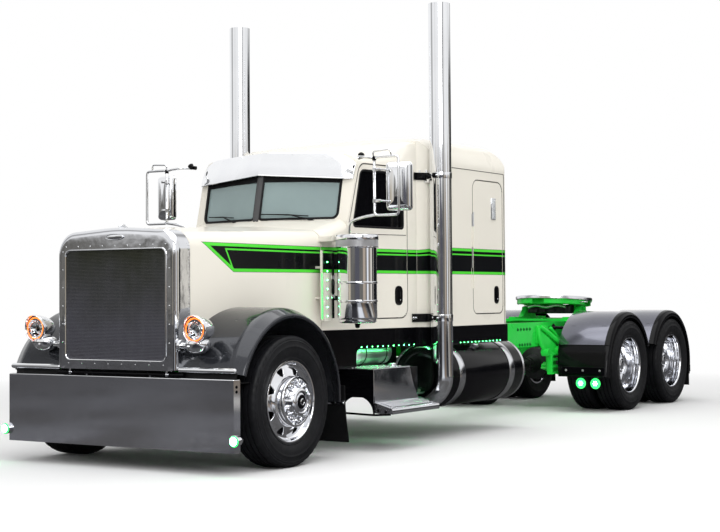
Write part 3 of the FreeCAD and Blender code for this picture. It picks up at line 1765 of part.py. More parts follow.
def drive_fenders():
    """Half-round fender over each drive wheel set, with a rolled outer edge and two support bars."""
    shapes = []
    wall = 5
    top = drive_fender_radius
    inner, outer = dim("drive_fender_inner"), dim("drive_fender_outer")
    for order, back, rear_angle, front_angle in (
        ("first", dim("first_drive_axle") - 40, 22, 156),
        ("second", second_drive_axle - 40, -16, 158),
    ):
        centre = along(back)
        height = wheel_height - 12
        band = turned(
            f"{order}_fender_band",
            "X",
            (0, centre, height),
            [
                (inner, top - wall),
                (outer - 14, top - wall, 18),
                (outer - wall, top - 48),
                (outer, top - 48),
                (outer, top - 12, 14),
                (outer - 14, top, 14),
                (inner, top),
            ],
            front_angle - rear_angle,
            rear_angle,
        )
        parts = [band]
        bar_radius = top - 22
        for index, (way, drop) in enumerate(((-1, 62.7), (1, 48.7))):
            bar_z = dim("rail_top") - drop
            rise = float(bar_z - height)
            bar_y = centre + way * math.sqrt(float(bar_radius) ** 2 - rise**2)
            reach = outer - 20 - dim("rail_half")
            parts.append(rod(f"{order}_fender_bar_{index}", "X", (dim("rail_half"), bar_y, bar_z), 18, reach))
        if order == "first":
            edge = math.radians(front_angle)
            edge_y = centre + (top - wall) * math.cos(edge)
            edge_z = height + (top - wall) * math.sin(edge)
            parts.append(
                prism(
                    "front_panel",
                    "YZ",
                    (inner, 0, 0),
                    [
                        (edge_y, edge_z),
                        (edge_y - 4, edge_z),
                        (along(6050), 372),
                        (along(6056), 372),
                    ],
                    outer - inner,
                )
            )
        side = fuse(f"{order}_fender_left", *parts)
        shapes += [side, mirror(f"{order}_fender_right", side)]
    node("drive_fenders", group("drive_fender_set", *shapes))


def rear_light_bar():
    """Closing plate across the rail ends with a flap hanging at each side."""
    inside = dim("rail_half") - dim("rail_wall")
    plate_low = rail_low + dim("rail_wall") + 10
    plate = box("end_plate", (-inside, frame_rear - 70, plate_low), (inside * 2, 60, 200))
    reach, flap_inner, flap_low = 600, 150, 250
    bar = box("light_bar", (-reach, frame_rear - 60, rail_low - 60), (reach * 2, 50, 60))
    flap_size = (reach - flap_inner, 10, rail_low - 59 - flap_low)
    flaps = [
        box(f"flap_{side}", (x, frame_rear - 40, flap_low), flap_size)
        for side, x in (("left", flap_inner), ("right", -reach))
    ]
    node("rear_light_bar", group("rear_bar", plate, fuse("bar_and_flaps", bar, *flaps)))


# ---------------------------------------------------------------- fifth wheel

def fifth_wheel():
    """Base on the rails and the tilting plate with its throat and kingpin lock."""
    y = along(dim("fifth_wheel_back"))
    pivot = dim("fifth_wheel_pivot")
    base_top = dim("rail_top") + 46
    plate_half = 400
    slab_half = dim("rail_half") + 20
    slab = box("fifth_base_slab", (-slab_half, y - 420, dim("rail_top")), (slab_half * 2, 840, 25))
    window = box("fifth_base_window", (-260, y - 300, dim("rail_top") - 10), (520, 600, 60))
    slide_size = (90, 840, base_top - dim("rail_top") - 20)
    rails = [
        box(f"fifth_slide_{side}", (x, y - 420, dim("rail_top") + 20), slide_size)
        for side, x in (("left", plate_half - 90), ("right", -plate_half))
    ]
    pedestals = []
    foot, top_half = 190, 45
    corners = [
        (y - foot, base_top - 1),
        (y + foot, base_top - 1),
        (y + top_half, pivot + 30, 30),
        (y - top_half, pivot + 30, 30),
    ]
    for side, x in (("left", plate_half - 75), ("right", -plate_half + 15)):
        pedestals.append(prism(f"fifth_pedestal_{side}", "YZ", (x, 0, 0), corners, 60))
    pins = [
        rod(f"fifth_pin_{side}", "X", (x, y, pivot), 22, 130)
        for side, x in (("left", plate_half - 110), ("right", -plate_half - 20))
    ]
    open_slab = cut("fifth_base_slab_open", slab, window)
    node("fifth_wheel_base", fuse("fifth_base_body", open_slab, *rails, *pedestals, *pins))

    radius, top = dim("fifth_wheel_radius"), dim("fifth_wheel_top")
    disc = rod("fifth_disc", "Z", (0, y, top - 40), radius, 40)
    rim_ring = turned(
        "fifth_rim",
        "Z",
        (0, y, 0),
        [(top - 90, radius - 34), (top - 90, radius - 16), (top - 30, radius - 2), (top - 30, radius - 34)],
    )
    bore = dim("kingpin_bore")
    throat = prism(
        "fifth_throat",
        "XY",
        (0, 0, top - 110),
        [
            (-38, y),
            (38, y),
            (38, y + 120),
            (170, y + radius + 30),
            (-170, y + radius + 30),
            (-38, y + 120),
        ],
        130,
    )
    lock = turned(
        "fifth_lock",
        "Z",
        (0, y, 0),
        [(top - 84, bore), (top - 84, 88), (top - 1, 88), (top - 1, bore)],
    )
    socket = rod("fifth_socket", "Z", (0, y, top - 100), bore, 120)
    lugs = []
    for side, x in (("left", plate_half - 107), ("right", -plate_half + 85)):
        lugs.append(rod(f"fifth_lug_eye_{side}", "X", (x, y, pivot), 44, 22))
        lugs.append(box(f"fifth_lug_stem_{side}", (x, y - 44, pivot), (22, 88, top - 35 - pivot)))
    open_plate = cut("fifth_plate_open", fuse("fifth_plate_solid", disc, rim_ring, *lugs), throat)
    locked = fuse("fifth_plate_locked", open_plate, lock)
    pin_bores = rod("fifth_pin_bores", "X", (-radius, y, pivot), 22 + dim("running"), radius * 2)
    node("fifth_wheel_plate", cut("fifth_plate_body", locked, socket, pin_bores))


# ---------------------------------------------------------------- build and export

for make in (
    frame_rails,
    frame_crossmembers,
    front_bumper,
    engine,
    front_axle,
    knuckles,
    tie_rod,
    wheels,
    drive_axles,
    driveshafts,
    suspension,
    grille_shell,
    hood,
    front_fenders,
    headlights,
    cab_shell,
    windshield,
    sun_visor,
    cab_doors,
    mirrors,
    interior,
    sleeper,
    cab_mounts,
    skirts,
    air_cleaners,
    exhaust_stacks,
    fuel_tanks,
    step_boxes,
    front_mud_flaps,
    drive_fenders,
    rear_light_bar,
    fifth_wheel,
):
    make()

doc.recompute()
for thing in doc.Objects:
    failed = [state for state in thing.State if state in ("Invalid", "Error")]
    if failed:
        raise RuntimeError(f"{thing.Name} failed: {failed}")
for label, body in nodes.items():
    shape = body.Shape
    if shape.isNull() or not shape.isValid() or not shape.Solids:
        raise RuntimeError(f"{label} has no valid solid")

os.makedirs("parts", exist_ok=True)
for label, body in nodes.items():
    body.Shape.exportStep(f"parts/{label}.step")
    bounds = body.Shape.BoundBox
    print(f"{label}: {len(body.Shape.Solids)} solids, y {bounds.YMin:.0f}..{bounds.YMax:.0f}")
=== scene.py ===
"""Looks of a conventional sleeper truck tractor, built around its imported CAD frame.

Lengths are in metres. The texts of numbers that mm() and places() read are in millimetres.
"""
import json
from math import atan, atan2, copysign, cos, exp, pi, radians, sin, sqrt, tan

import bmesh
import bpy
from mathutils import Matrix, Vector, noise


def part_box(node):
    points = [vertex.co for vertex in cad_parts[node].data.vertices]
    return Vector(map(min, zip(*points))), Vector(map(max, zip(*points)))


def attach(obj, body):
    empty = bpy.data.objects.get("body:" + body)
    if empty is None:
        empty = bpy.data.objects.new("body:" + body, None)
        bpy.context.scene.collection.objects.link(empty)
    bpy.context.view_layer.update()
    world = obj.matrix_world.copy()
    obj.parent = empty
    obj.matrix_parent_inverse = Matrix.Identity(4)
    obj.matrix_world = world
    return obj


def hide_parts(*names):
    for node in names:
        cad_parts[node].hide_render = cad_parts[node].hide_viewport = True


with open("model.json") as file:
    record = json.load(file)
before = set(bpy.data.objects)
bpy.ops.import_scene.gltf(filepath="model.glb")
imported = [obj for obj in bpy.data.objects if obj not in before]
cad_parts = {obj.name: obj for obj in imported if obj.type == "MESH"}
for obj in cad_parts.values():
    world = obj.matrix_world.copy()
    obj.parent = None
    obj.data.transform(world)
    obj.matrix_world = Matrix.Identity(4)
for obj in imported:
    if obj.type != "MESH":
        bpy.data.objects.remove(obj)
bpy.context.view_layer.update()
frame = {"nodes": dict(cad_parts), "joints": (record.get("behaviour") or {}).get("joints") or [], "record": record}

SIDES = (("left", 1), ("right", -1))
X, Y, Z = Vector((1, 0, 0)), Vector((0, 1, 0)), Vector((0, 0, 1))


# ---------------------------------------------------------------- places

def centre(node):
    """The middle of a CAD node's box."""
    low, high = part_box(node)
    return (low + high) / 2


AXLE = centre("left_front_tyre").y
HUB = centre("left_front_tyre").z
RAIL_SIDE = 0.432


def behind(distance):
    """The Y of a place that lies a distance behind the front axle."""
    return AXLE + distance


def pos(x, back, z):
    """A place that lies a distance behind the front axle."""
    return Vector((x, behind(back), z))


def mm(text, **lengths):
    """Tuples of metres from a text of millimetres. In it, rim-4 is 4 mm less than a length named rim."""
    def metres(word):
        name = word.rstrip("0123456789.+-")
        length = -lengths[name[1:]] if name.startswith("-") else lengths.get(name, 0.0)
        return length + float((word[len(name):] or "0") + "e-3")

    return [tuple(metres(word) for word in row.split()) for row in text.split(",")]


def places(text, **lengths):
    """Places from (X, distance behind the front axle, Z), in the same way."""
    return [pos(*row) for row in mm(text, **lengths)]


# ---------------------------------------------------------------- nodes

class Value:
    """A socket's value. Sums, products and comparisons with it become nodes."""

    def __init__(self, nodes, socket):
        self.nodes, self.socket = nodes, socket

    def __add__(self, other):
        return self.nodes.math("ADD", self, other)

    def __sub__(self, other):
        return self.nodes.math("SUBTRACT", self, other)

    def __rsub__(self, other):
        return self.nodes.math("SUBTRACT", other, self)

    def __mul__(self, other):
        return self.nodes.math("MULTIPLY", self, other)

    def __gt__(self, other):
        return self.nodes.math("GREATER_THAN", self, other)

    def __lt__(self, other):
        return self.nodes.math("LESS_THAN", self, other)


class Nodes:
    """A node tree that is put together step by step."""

    def __init__(self, tree, place):
        self.tree = tree
        self.place = self.add("TexCoord").outputs[place]

    def fill(self, socket, value):
        if isinstance(value, Value):
            value = value.socket
        if isinstance(value, bpy.types.NodeSocket):
            self.tree.links.new(value, socket)
        elif socket.type == "RGBA" and len(value) == 3:
            socket.default_value = (*value, 1)
        else:
            socket.default_value = value

    def add(self, kind, *inputs, **settings):
        """A node with its inputs filled in order, from numbers, colours or values."""
        node = self.tree.nodes.new("ShaderNode" + kind)
        for key, value in settings.items():
            setattr(node, key, value)
        for socket, value in zip([socket for socket in node.inputs if socket.enabled], inputs):
            self.fill(socket, value)
        return node

    def math(self, operation, *inputs, clamp=False):
        return Value(self, self.add("Math", *inputs, operation=operation, use_clamp=clamp).outputs[0])

    def noise(self, scale, detail=2.0, stretch=None, distortion=0.0):
        place = self.place
        if stretch:
            mapping = self.add("Mapping", place)
            mapping.inputs["Scale"].default_value = stretch
            place = mapping.outputs[0]
        node = self.add("TexNoise", place)
        for name, value in (("Scale", scale), ("Detail", detail), ("Distortion", distortion)):
            node.inputs[name].default_value = value
        return Value(self, node.outputs[0])

    def span(self, value, low, high, first, last):
        """The value carried from one range to another."""
        return Value(self, self.add("MapRange", value, low, high, first, last).outputs[0])

    def drift(self, scale, detail, first=0, last=1, **options):
        """Noise carried from its middle range to another."""
        return self.span(self.noise(scale, detail, **options), 0.3, 0.7, first, last)

    def within(self, value, start, end, soft):
        """1 between two values, 0 outside them, with soft ends."""
        rise = self.span(value, start - soft, start + soft, 0.0, 1.0)
        return rise * self.span(value, end - soft, end + soft, 1.0, 0.0)

    def mix(self, share, first, second):
        node = self.add("Mix", data_type="RGBA")
        for index, value in ((0, share), (6, first), (7, second)):
            self.fill(node.inputs[index], value)
        return Value(self, node.outputs[2])

    def axes(self, direction=None):
        return [Value(self, socket) for socket in self.add("SeparateXYZ", direction or self.place).outputs]


class Shader(Nodes):
    """The nodes of a material, round its Principled BSDF."""

    def __init__(self, name, **sockets):
        self.material = bpy.data.materials.new(name)
        self.material.use_nodes = True
        super().__init__(self.material.node_tree, "Object")
        self.surface = self.tree.nodes["Principled BSDF"]
        self.set(**sockets)

    def set(self, **sockets):
        for key, value in sockets.items():
            self.fill(self.surface.inputs[key.replace("_", " ")], value)

    def bump(self, height, strength, distance):
        node = self.add("Bump", strength, distance)
        self.fill(node.inputs["Height"], height)
        self.set(Normal=node.outputs[0])


# ---------------------------------------------------------------- materials

def shaded(colour, factor):
    """A colour made darker or lighter."""
    return tuple(min(1.0, channel * factor) for channel in colour)


def varied(name, colour, spread, scale, rough, grain, stretch, bump, depth, **sockets):
    """Colour that drifts a little, roughness that drifts between two values, and a fine relief."""
    shader = Shader(name, **sockets)
    drift = shader.noise(scale, 3.0)
    dark, light = shaded(colour, 1 - spread), shaded(colour, 1 + spread)
    shader.set(Base_Color=shader.mix(shader.span(drift, 0.3, 0.7, 0, 1), dark, light))
    shader.set(Roughness=shader.drift(scale * 2.3, 4.0, *rough, distortion=0.6))
    shader.bump(shader.noise(grain, 3.0, stretch), bump, depth)
    return shader.material


CREAM, STRIPE_GREEN, STRIPE_BLACK = (0.806, 0.771, 0.687), (0.085, 0.70, 0.045), (0.0035, 0.0038, 0.0050)
STRIPE_TOP, STRIPE_LOW = 1.757, 1.540
LINE, GAP, THIN = 0.028, 0.016, 0.0135
HOOD_SLOPE, CAB_RISE = 0.0093, 0.028
BODY_SIDE = 0.55


def striped_paint():
    """Cream paint with the green and black side band, its pointed front end on the hood."""
    shader = Shader("cream_paint", Coat_Weight=0.45, Coat_Roughness=0.03, Specular_IOR_Level=0.08)
    lowest, highest = (
        lambda *values, kind=kind: shader.math(kind, *values) for kind in ("MINIMUM", "MAXIMUM")
    )
    x, y, z = shader.axes()
    rise = highest((behind(0.97) - y) * HOOD_SLOPE, 0.0)
    step_up = shader.span(y, behind(2.36), behind(2.62), 0.0, 1.0)
    rise = rise + step_up * CAB_RISE
    top = rise + STRIPE_TOP - z
    low = z - (STRIPE_LOW - 0.006)

    def slant(start_y, start_z, end_y, end_z):
        along = Vector((end_y - start_y, end_z - start_z)).normalized()
        return (y - start_y) * -along.y + (z - start_z) * along.x

    front = slant(behind(-0.432), 1.771, behind(-0.075), 1.531)
    inner_front = slant(behind(-0.175), 1.724, behind(-0.092), 1.560)
    edge = lowest(lowest(top, low), front)
    out = shader.math("ABSOLUTE", x) > BODY_SIDE
    sideways = shader.axes(shader.add("NewGeometry").outputs["Normal"])[0]
    out = out * (sideways * x > 0.08)
    inside = (edge > 0.0) * out
    rim = (edge > 0.0035) * (edge < LINE) * out
    gap = step_up * 0.010 + (LINE + GAP)
    inner = lowest(top - gap, inner_front)
    thin = (inner > 0.0) * (inner < THIN)
    thin = thin * (low > LINE)
    green = highest(rim, thin * out)
    cream = shader.mix(shader.drift(1.3, 3.0), shaded(CREAM, 0.975), shaded(CREAM, 1.02))
    # The cream turns darker towards the bottom, in noisy patches.
    lower_darkening = shader.span(z, 1.35, 1.0, 0.0, 0.35) * shader.noise(9.0, 4.0)
    cream = shader.mix(lower_darkening, cream, shaded(CREAM, 0.86))
    shader.set(Base_Color=shader.mix(inside, cream, shader.mix(green, STRIPE_BLACK, STRIPE_GREEN)))
    shader.set(Roughness=shader.drift(2.1, 4.0, 0.26, 0.38))
    shader.bump(shader.noise(210.0, 1.0), 0.035, 0.0006)
    return shader.material


def lamp(name, colour, strength, core):
    """A glowing material, its colour flecked with another."""
    shader = Shader(name, Roughness=0.25, Base_Color=shaded(colour, 0.6))
    shader.set(Emission_Color=shader.mix(shader.drift(90.0, 1.0), colour, core))
    shader.set(Emission_Strength=strength)
    return shader.material


def clear(name, colour, weight, rough, ior=1.45):
    """Tinted glass."""
    shader = Shader(name, Transmission_Weight=weight, IOR=ior)
    shader.set(Base_Color=shader.mix(shader.drift(3.0, 3.0), shaded(colour, 0.94), shaded(colour, 1.05)))
    shader.set(Roughness=shader.drift(7.0, 4.0, *rough))
    return shader.material


def screen_metal(name, foot, top):
    """Metal of the screen and its wires, with a painted reflection: olive at the top, bluer towards the foot."""
    shader = Shader(name, Metallic=1.0)
    # Painted reflection: the colour runs from the bluish foot up to the olive top.
    high = shader.span(shader.axes()[2], 1.05, 1.75, 0.0, 1.0)
    drift = shader.math("ADD", high, shader.drift(2.6, 3.0, -0.25, 0.25), clamp=True)
    shader.set(Base_Color=shader.mix(drift, foot, top))
    shader.set(Roughness=shader.drift(6.0, 3.0, 0.42, 0.6))
    shader.bump(shader.noise(300.0, 3.0), 0.2, 0.0006)
    return shader.material


def coated(weight, **sockets):
    """The sockets of a lacquered paint."""
    return {"Coat_Weight": weight, "Coat_Roughness": 0.03, "Specular_IOR_Level": 0.08, **sockets}


METAL = {"Metallic": 1.0}
# name, colour, its spread and scale, roughness, the grain's scale, stretch, strength and depth, sockets
SURFACES = (
    ("green_paint", (0.020, 0.66, 0.062), 0.12, 2.2, (0.22, 0.40), 240, None, 0.03, 0.0006, coated(0.5)),
    (
        "dark_paint", (0.030, 0.032, 0.038), 0.1, 2.2, (0.18, 0.30), 240, None, 0.03, 0.0006,
        coated(0.6, Metallic=0.45, Specular_IOR_Level=0.1)
    ),
    ("black_paint", (0.0022, 0.0022, 0.0030), 0.15, 2.2, (0.12, 0.25), 240, None, 0.03, 0.0006, coated(0.14)),
    ("bolt_paint", (0.010, 0.170, 0.028), 0.2, 2.2, (0.3, 0.5), 240, None, 0.03, 0.0006, coated(0.3)),
    ("post_paint", (0.050, 0.050, 0.052), 0.12, 2.2, (0.35, 0.5), 240, None, 0.03, 0.0006, coated(1.0)),
    (
        "fender_paint", (0.135, 0.138, 0.172), 0.06, 1.6, (0.14, 0.24), 240, None, 0.03, 0.0006,
        coated(0.8, Metallic=0.85, Specular_IOR_Level=0.5)
    ),
    ("polished_metal", (0.86, 0.87, 0.89), 0.04, 3.0, (0.03, 0.08), 60, None, 0.02, 0.0006, METAL),
    ("wheel_metal", (0.84, 0.85, 0.88), 0.04, 3.0, (0.05, 0.12), 140, None, 0.03, 0.0006, METAL),
    ("bumper_metal", (0.76, 0.77, 0.82), 0.05, 1.6, (0.05, 0.11), 26, (1, 1, 14), 0.03, 0.0006, METAL),
    ("shell_metal", (0.78, 0.79, 0.82), 0.05, 2.6, (0.03, 0.08), 4.5, None, 0.5, 0.003, METAL),
    ("visor_metal", (0.93, 0.94, 0.97), 0.05, 2.0, (0.05, 0.11), 5, (1, 1, 2), 0.4, 0.002, METAL),
    ("canister_metal", (0.84, 0.85, 0.88), 0.04, 3.0, (0.02, 0.05), 3, None, 0.1, 0.0006, METAL),
    ("strap_metal", (0.74, 0.75, 0.78), 0.04, 3.0, (0.12, 0.22), 60, (1, 10, 1), 0.05, 0.0006, METAL),
    ("tank_metal", (0.62, 0.66, 0.66), 0.12, 3.0, (0.28, 0.42), 40, None, 0.12, 0.0006, METAL),
    ("mirror_glass", (0.88, 0.90, 0.91), 0.04, 3.0, (0.01, 0.03), 60, None, 0.02, 0.0006, METAL),
    ("intake_metal", (0.50, 0.50, 0.51), 0.15, 5.0, (0.30, 0.45), 260, None, 0.4, 0.0008, {"Metallic": 0.8}),
    # Near-black cast metal. In the wheels it is painted shade inside their hollow.
    ("cast_metal", (0.018, 0.018, 0.020), 0.3, 6.0, (0.45, 0.7), 120, None, 0.35, 0.001, {"Metallic": 0.3}),
    (
        "frosted_lens", (0.62, 0.64, 0.66), 0.1, 14, (0.22, 0.36), 180, (1, 1, 3), 0.5, 0.0015,
        {"Metallic": 0.35}
    ),
    ("red_lens", (0.42, 0.008, 0.010), 0.2, 30, (0.10, 0.2), 220, None, 0.3, 0.0008, {"Coat_Weight": 0.6}),
    (
        "pillow_cloth", (0.55, 0.53, 0.49), 0.08, 9.0, (0.75, 0.9), 480, None, 0.45, 0.001,
        {"Sheen_Weight": 0.3}
    ),
    (
        "seat_fabric", (0.085, 0.078, 0.070), 0.2, 11, (0.7, 0.85), 520, None, 0.5, 0.001,
        {"Sheen_Weight": 0.3}
    ),
    ("trim_plastic", (0.035, 0.033, 0.032), 0.2, 8.0, (0.5, 0.65), 420, None, 0.3, 0.0006, {}),
    (
        "seam_rubber", (0.0045, 0.0045, 0.0050), 0.25, 12, (0.5, 0.7), 200, None, 0.2, 0.0006,
        {"Specular_IOR_Level": 0.15}
    ),
    (
        "tyre_rubber", (0.0062, 0.0065, 0.0080), 0.3, 9.0, (0.42, 0.62), 260, None, 0.18, 0.0008,
        {"Specular_IOR_Level": 0.22}
    ),
    (
        "flap_rubber", (0.0055, 0.0055, 0.0062), 0.25, 7.0, (0.45, 0.65), 150, None, 0.25, 0.0008,
        {"Specular_IOR_Level": 0.2}
    )
)
MATERIALS = {name: varied(name, *look, **sockets) for name, *look, sockets in SURFACES}
MATERIALS["cream_paint"] = striped_paint()
for make, name, *look in (
    (screen_metal, "mesh_metal", (0.100, 0.100, 0.116), (0.040, 0.042, 0.031)),
    (screen_metal, "wire_metal", (0.235, 0.235, 0.270), (0.115, 0.120, 0.092)),
    (clear, "window_glass", (0.42, 0.54, 0.545), 0.45, (0.02, 0.06)),
    (clear, "dark_glass", (0.004, 0.004, 0.005), 0.25, (0.02, 0.05), 1.25),
    (clear, "lens_glass", (0.93, 0.95, 0.96), 1.0, (0.01, 0.03)),
    (lamp, "amber_halo", (1.0, 0.15, 0.012), 3.0, (1.0, 0.24, 0.03)),
    (lamp, "green_lamp", (0.02, 1.0, 0.14), 1.7, (0.08, 1.0, 0.22)),
    (lamp, "led_core", (0.10, 1.0, 0.27), 38.0, (0.12, 1.0, 0.30)),
    (lamp, "glow_lamp", (0.03, 1.0, 0.075), 3.2, (0.05, 1.0, 0.10))
):
    MATERIALS[name] = make(name, *look)


# ---------------------------------------------------------------- forms

def turns(count):
    """That many angles, evenly round a whole turn."""
    return [2 * pi * step / count for step in range(count)]


def round_x(angle, radius=1.0):
    """A way square to X, or a step along it."""
    return Vector((0, cos(angle), sin(angle))) * radius


def frame_of(axis):
    """Two directions square to an axis."""
    axis = Vector(axis).normalized()
    helper = Z if abs(axis.z) < 0.9 else X
    first = helper.cross(axis).normalized()
    return first, axis.cross(first)


def circle(middle, radius, first, second, count=48, turn=0.0):
    """Points round a middle, in the plane of two directions."""
    angles = [turn + a for a in turns(count)]
    return [Vector(middle) + (first * cos(a) + second * sin(a)) * radius for a in angles]


def eased(before, here, after, radius, limit, steps):
    """A corner of a path, rounded off."""
    back, on = before - here, after - here
    reach = min(radius, back.length * limit, on.length * limit)
    start, end = here + back.normalized() * reach, here + on.normalized() * reach
    shares = [step / steps for step in range(steps + 1)]
    return [start * (1 - share) ** 2 + here * 2 * share * (1 - share) + end * share**2 for share in shares]


def rounded(points, radius, steps=5):
    """A path with its inner corners rounded off."""
    points = [Vector(point) for point in points]
    path = [points[0]]
    for corner in zip(points, points[1:], points[2:]):
        path += eased(*corner, radius, 0.45, steps)
    return path + [points[-1]]


def rounded_loop(corners, radius, steps=6):
    """A closed outline with rounded corners."""
    points = [Vector(corner) for corner in corners]
    loop = []
    for corner in zip(points[-1:] + points, points, points[1:] + points[:1]):
        loop += eased(*corner, radius, 0.49, steps)
    return loop


class Form:
    """Faces gathered into one piece. Each shape takes the material index that is current."""

    def __init__(self):
        self.mesh = bmesh.new()
        self.index = 0

    def faces(self, corners):
        """One face, unless its corners fall together or it is there already."""
        try:
            self.mesh.faces.new(corners).material_index = self.index
        except ValueError:
            pass

    def skin(self, rows, ring=True, caps=False, closed=False):
        """A surface through rows of points; a row of one point is a tip."""
        made = [[self.mesh.verts.new(point) for point in row] for row in rows]
        for low, high in zip(made, made[1:] + made[:1] if closed else made[1:]):
            count = max(len(low), len(high))
            for index in range(count if ring else count - 1):
                on = (index + 1) % count
                if len(low) == 1:
                    self.faces((low[0], high[on], high[index]))
                elif len(high) == 1:
                    self.faces((low[index], low[on], high[0]))
                else:
                    self.faces((low[index], low[on], high[on], high[index]))
        if caps:
            for row in (made[0][::-1], made[-1]):
                if len(row) > 2:
                    self.faces(row)

    def lathe(self, place, axis, profile, steps=40, turn=0.0, **lengths):
        """A profile of (radius, height), or its text, turned round an axis."""
        place, axis = Vector(place), Vector(axis).normalized()
        way = frame_of(axis)
        rows = []
        for radius, height in mm(profile, **lengths) if isinstance(profile, str) else profile:
            middle = place + axis * height
            rows.append([middle] if radius < 1e-6 else circle(middle, radius, *way, steps, turn))
        self.skin(rows)

    def tube(self, points, radius, sides=12, caps=True, closed=False):
        """A round bar along a path. The radius is one number or one for each point."""
        points = [Vector(point) for point in points]
        radii = radius if isinstance(radius, (list, tuple)) else [radius] * len(points)
        normal, rows, last = None, [], len(points) - 1
        for index, point in enumerate(points):
            before = points[index - 1 if closed else max(0, index - 1)]
            after = points[(index + 1) % len(points) if closed else min(last, index + 1)]
            along = (after - before).normalized()
            if normal is None:
                normal = frame_of(along)[0]
            normal = (normal - along * normal.dot(along)).normalized()
            other = along.cross(normal)
            rows.append([point + (normal * cos(a) + other * sin(a)) * radii[index] for a in turns(sides)])
        self.skin(rows, caps=caps and not closed, closed=closed)

    def loop(self, points, radius, sides=8):
        """A round bar along a closed path."""
        self.tube(points, radius, sides, closed=True)

    def block(self, low, high, bevel=0.004, segments=2):
        """A box between two corners with its edges rounded."""
        low, high = Vector(low), Vector(high)
        size, middle = high - low, (low + high) / 2
        verts = bmesh.ops.create_cube(self.mesh, size=1.0)["verts"]
        for vert in verts:
            vert.co = vert.co * size
        for face in {face for vert in verts for face in vert.link_faces}:
            face.material_index = self.index
        done = bmesh.ops.bevel(
            self.mesh, geom=list(dict.fromkeys(edge for vert in verts for edge in vert.link_edges)),
            offset=min(bevel, min(size) * 0.45), segments=segments, affect="EDGES", profile=0.5,
            material=self.index, clamp_overlap=True
        )
        for vert in {vert for vert in verts if vert.is_valid} | set(done["verts"]):
            vert.co += middle

    def slab(self, outline, depth, bevel=0.0, steps=3):
        """A closed outline of points pushed along a vector, both rims rounded by a bevel."""
        outline = [Vector(point) for point in outline]
        depth = Vector(depth)
        way = depth.normalized()
        middle = sum(outline, Vector()) / len(outline)
        if not bevel:
            self.skin([outline, [point + depth for point in outline]], caps=True)
            return

        def inset(amount, rise):
            row = []
            for before, point, after in zip(outline[-1:] + outline, outline, outline[1:] + outline[:1]):
                inward = (after - before).normalized().cross(way)
                if inward.dot(middle - point) < 0:
                    inward = -inward
                row.append(point + inward * amount + way * rise)
            return row

        arc = [
            (bevel * (1 - sin(a)), bevel * (1 - cos(a)))
            for a in (pi / 2 * step / steps for step in range(steps + 1))
        ]
        rows = [inset(amount, rise) for amount, rise in arc]
        rows += [inset(amount, depth.length - rise) for amount, rise in reversed(arc)]
        self.skin(rows, caps=True)

    def bolt(self, place, axis, radius=0.011, washer=True):
        """A hexagon head on a round washer, its top slightly domed."""
        if washer:
            rim = radius * 1.5
            self.lathe(place, axis, [(rim, 0), (rim, radius * 0.2), (radius * 0.9, radius * 0.25)], 16)
        top = radius * 0.9
        self.lathe(place, axis, [(radius, 0), (radius, top), (radius * 0.82, top * 1.14), (0, top * 1.22)], 6)

    def rivet(self, place, axis, radius=0.006, steps=10):
        """A domed head."""
        dome = ((1, 0), (0.85, 0.35), (0.45, 0.58), (0, 0.66))
        self.lathe(place, axis, [(radius * out, radius * up) for out, up in dome], steps)

    def done(self, name, body, slot, materials="", mirrored=False, sharp=35.0, replaces=""):
        """The piece as an object that rides on its body. Without materials it has its slot's own."""
        mesh = bpy.data.meshes.new(name)
        bmesh.ops.remove_doubles(self.mesh, verts=self.mesh.verts, dist=0.00002)
        bmesh.ops.recalc_face_normals(self.mesh, faces=self.mesh.faces)
        self.mesh.to_mesh(mesh)
        if mirrored:
            mesh.transform(Matrix.Scale(-1, 4, X))
            mesh.flip_normals()
        for material in (materials or slot).split():
            mesh.materials.append(MATERIALS[material])
        mesh.polygons.foreach_set("use_smooth", [True] * len(mesh.polygons))
        mesh.set_sharp_from_angle(angle=radians(sharp))
        piece = placed(name, mesh)
        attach(piece, body)
        if replaces:
            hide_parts(*replaces.split())
        return piece


def placed(name, data):
    """An object of that data, in the scene."""
    thing = bpy.data.objects.new(name, data)
    bpy.context.scene.collection.objects.link(thing)
    return thing


def both(make, name, body, slot, materials="", replaces="", **options):
    """A piece made for the left side and mirrored for the right one."""
    form = Form()
    make(form)
    for side, way in SIDES:
        own = body if body in ("chassis", "hood") else f"{side}_{body}"
        copy = Form()
        copy.mesh = form.mesh.copy()
        gone = replaces.format(side=side)
        copy.done(f"{side}_{name}", own, slot, materials, mirrored=way < 0, replaces=gone, **options)


# ---------------------------------------------------------------- wheels and tyres

RIM_HALF = 0.117
OUTER_X = centre("left_front_tyre").x + RIM_HALF
DUAL_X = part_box("left_first_drive_wheels")[1].x
DUAL_SPACING = 0.330
DRIVE_AXLES = {order: centre(f"left_{order}_drive_tyres").y for order in ("first", "second")}
TURN_STEPS = 192


def tyre(form, x, y):
    """Radial truck tyre: bead, ringed sidewalls, notched shoulders and a ribbed tread."""
    side = mm(
        "312 98, 313.5 108, 322 115.5, 334 118, 336.5 120.8, 341 120.8, 343.5 119, 360 126.5, 385 133.5, "
        "410 136.8, 425 137.2, 428 138.8, 431 138.8, 434 137, 452 135.2, 468 132.8, 470.5 134.6, 474 134.4, "
        "477 131.8, 486 129.5, 488.5 130.8, 491.5 130.3, 494 127.5, 501 124.5, 508 118.5, 512.5 112, "
        "514.8 104, 515.5 94"
    )
    notched = range(22, 27)
    for groove in (0.072, 0.0245):
        side += [(0.5158, groove + 0.0065), (0.5030, groove + 0.0045)]
        side += [(0.5030, groove - 0.0045), (0.5158, groove - 0.0065)]
    profile = [(*point, index in notched) for index, point in enumerate(side)]
    profile += [(radius, -height, notch) for radius, height, notch in reversed(profile)]
    rows = []
    for radius, height, notch in profile:
        row = []
        for step, angle in enumerate(turns(TURN_STEPS)):
            reach = radius - (0.0045 if notch and step % 4 == 0 else 0.0)
            row.append(Vector((x + height, y + reach * cos(angle), HUB + reach * sin(angle))))
        rows.append(row)
    form.skin(rows, closed=True)


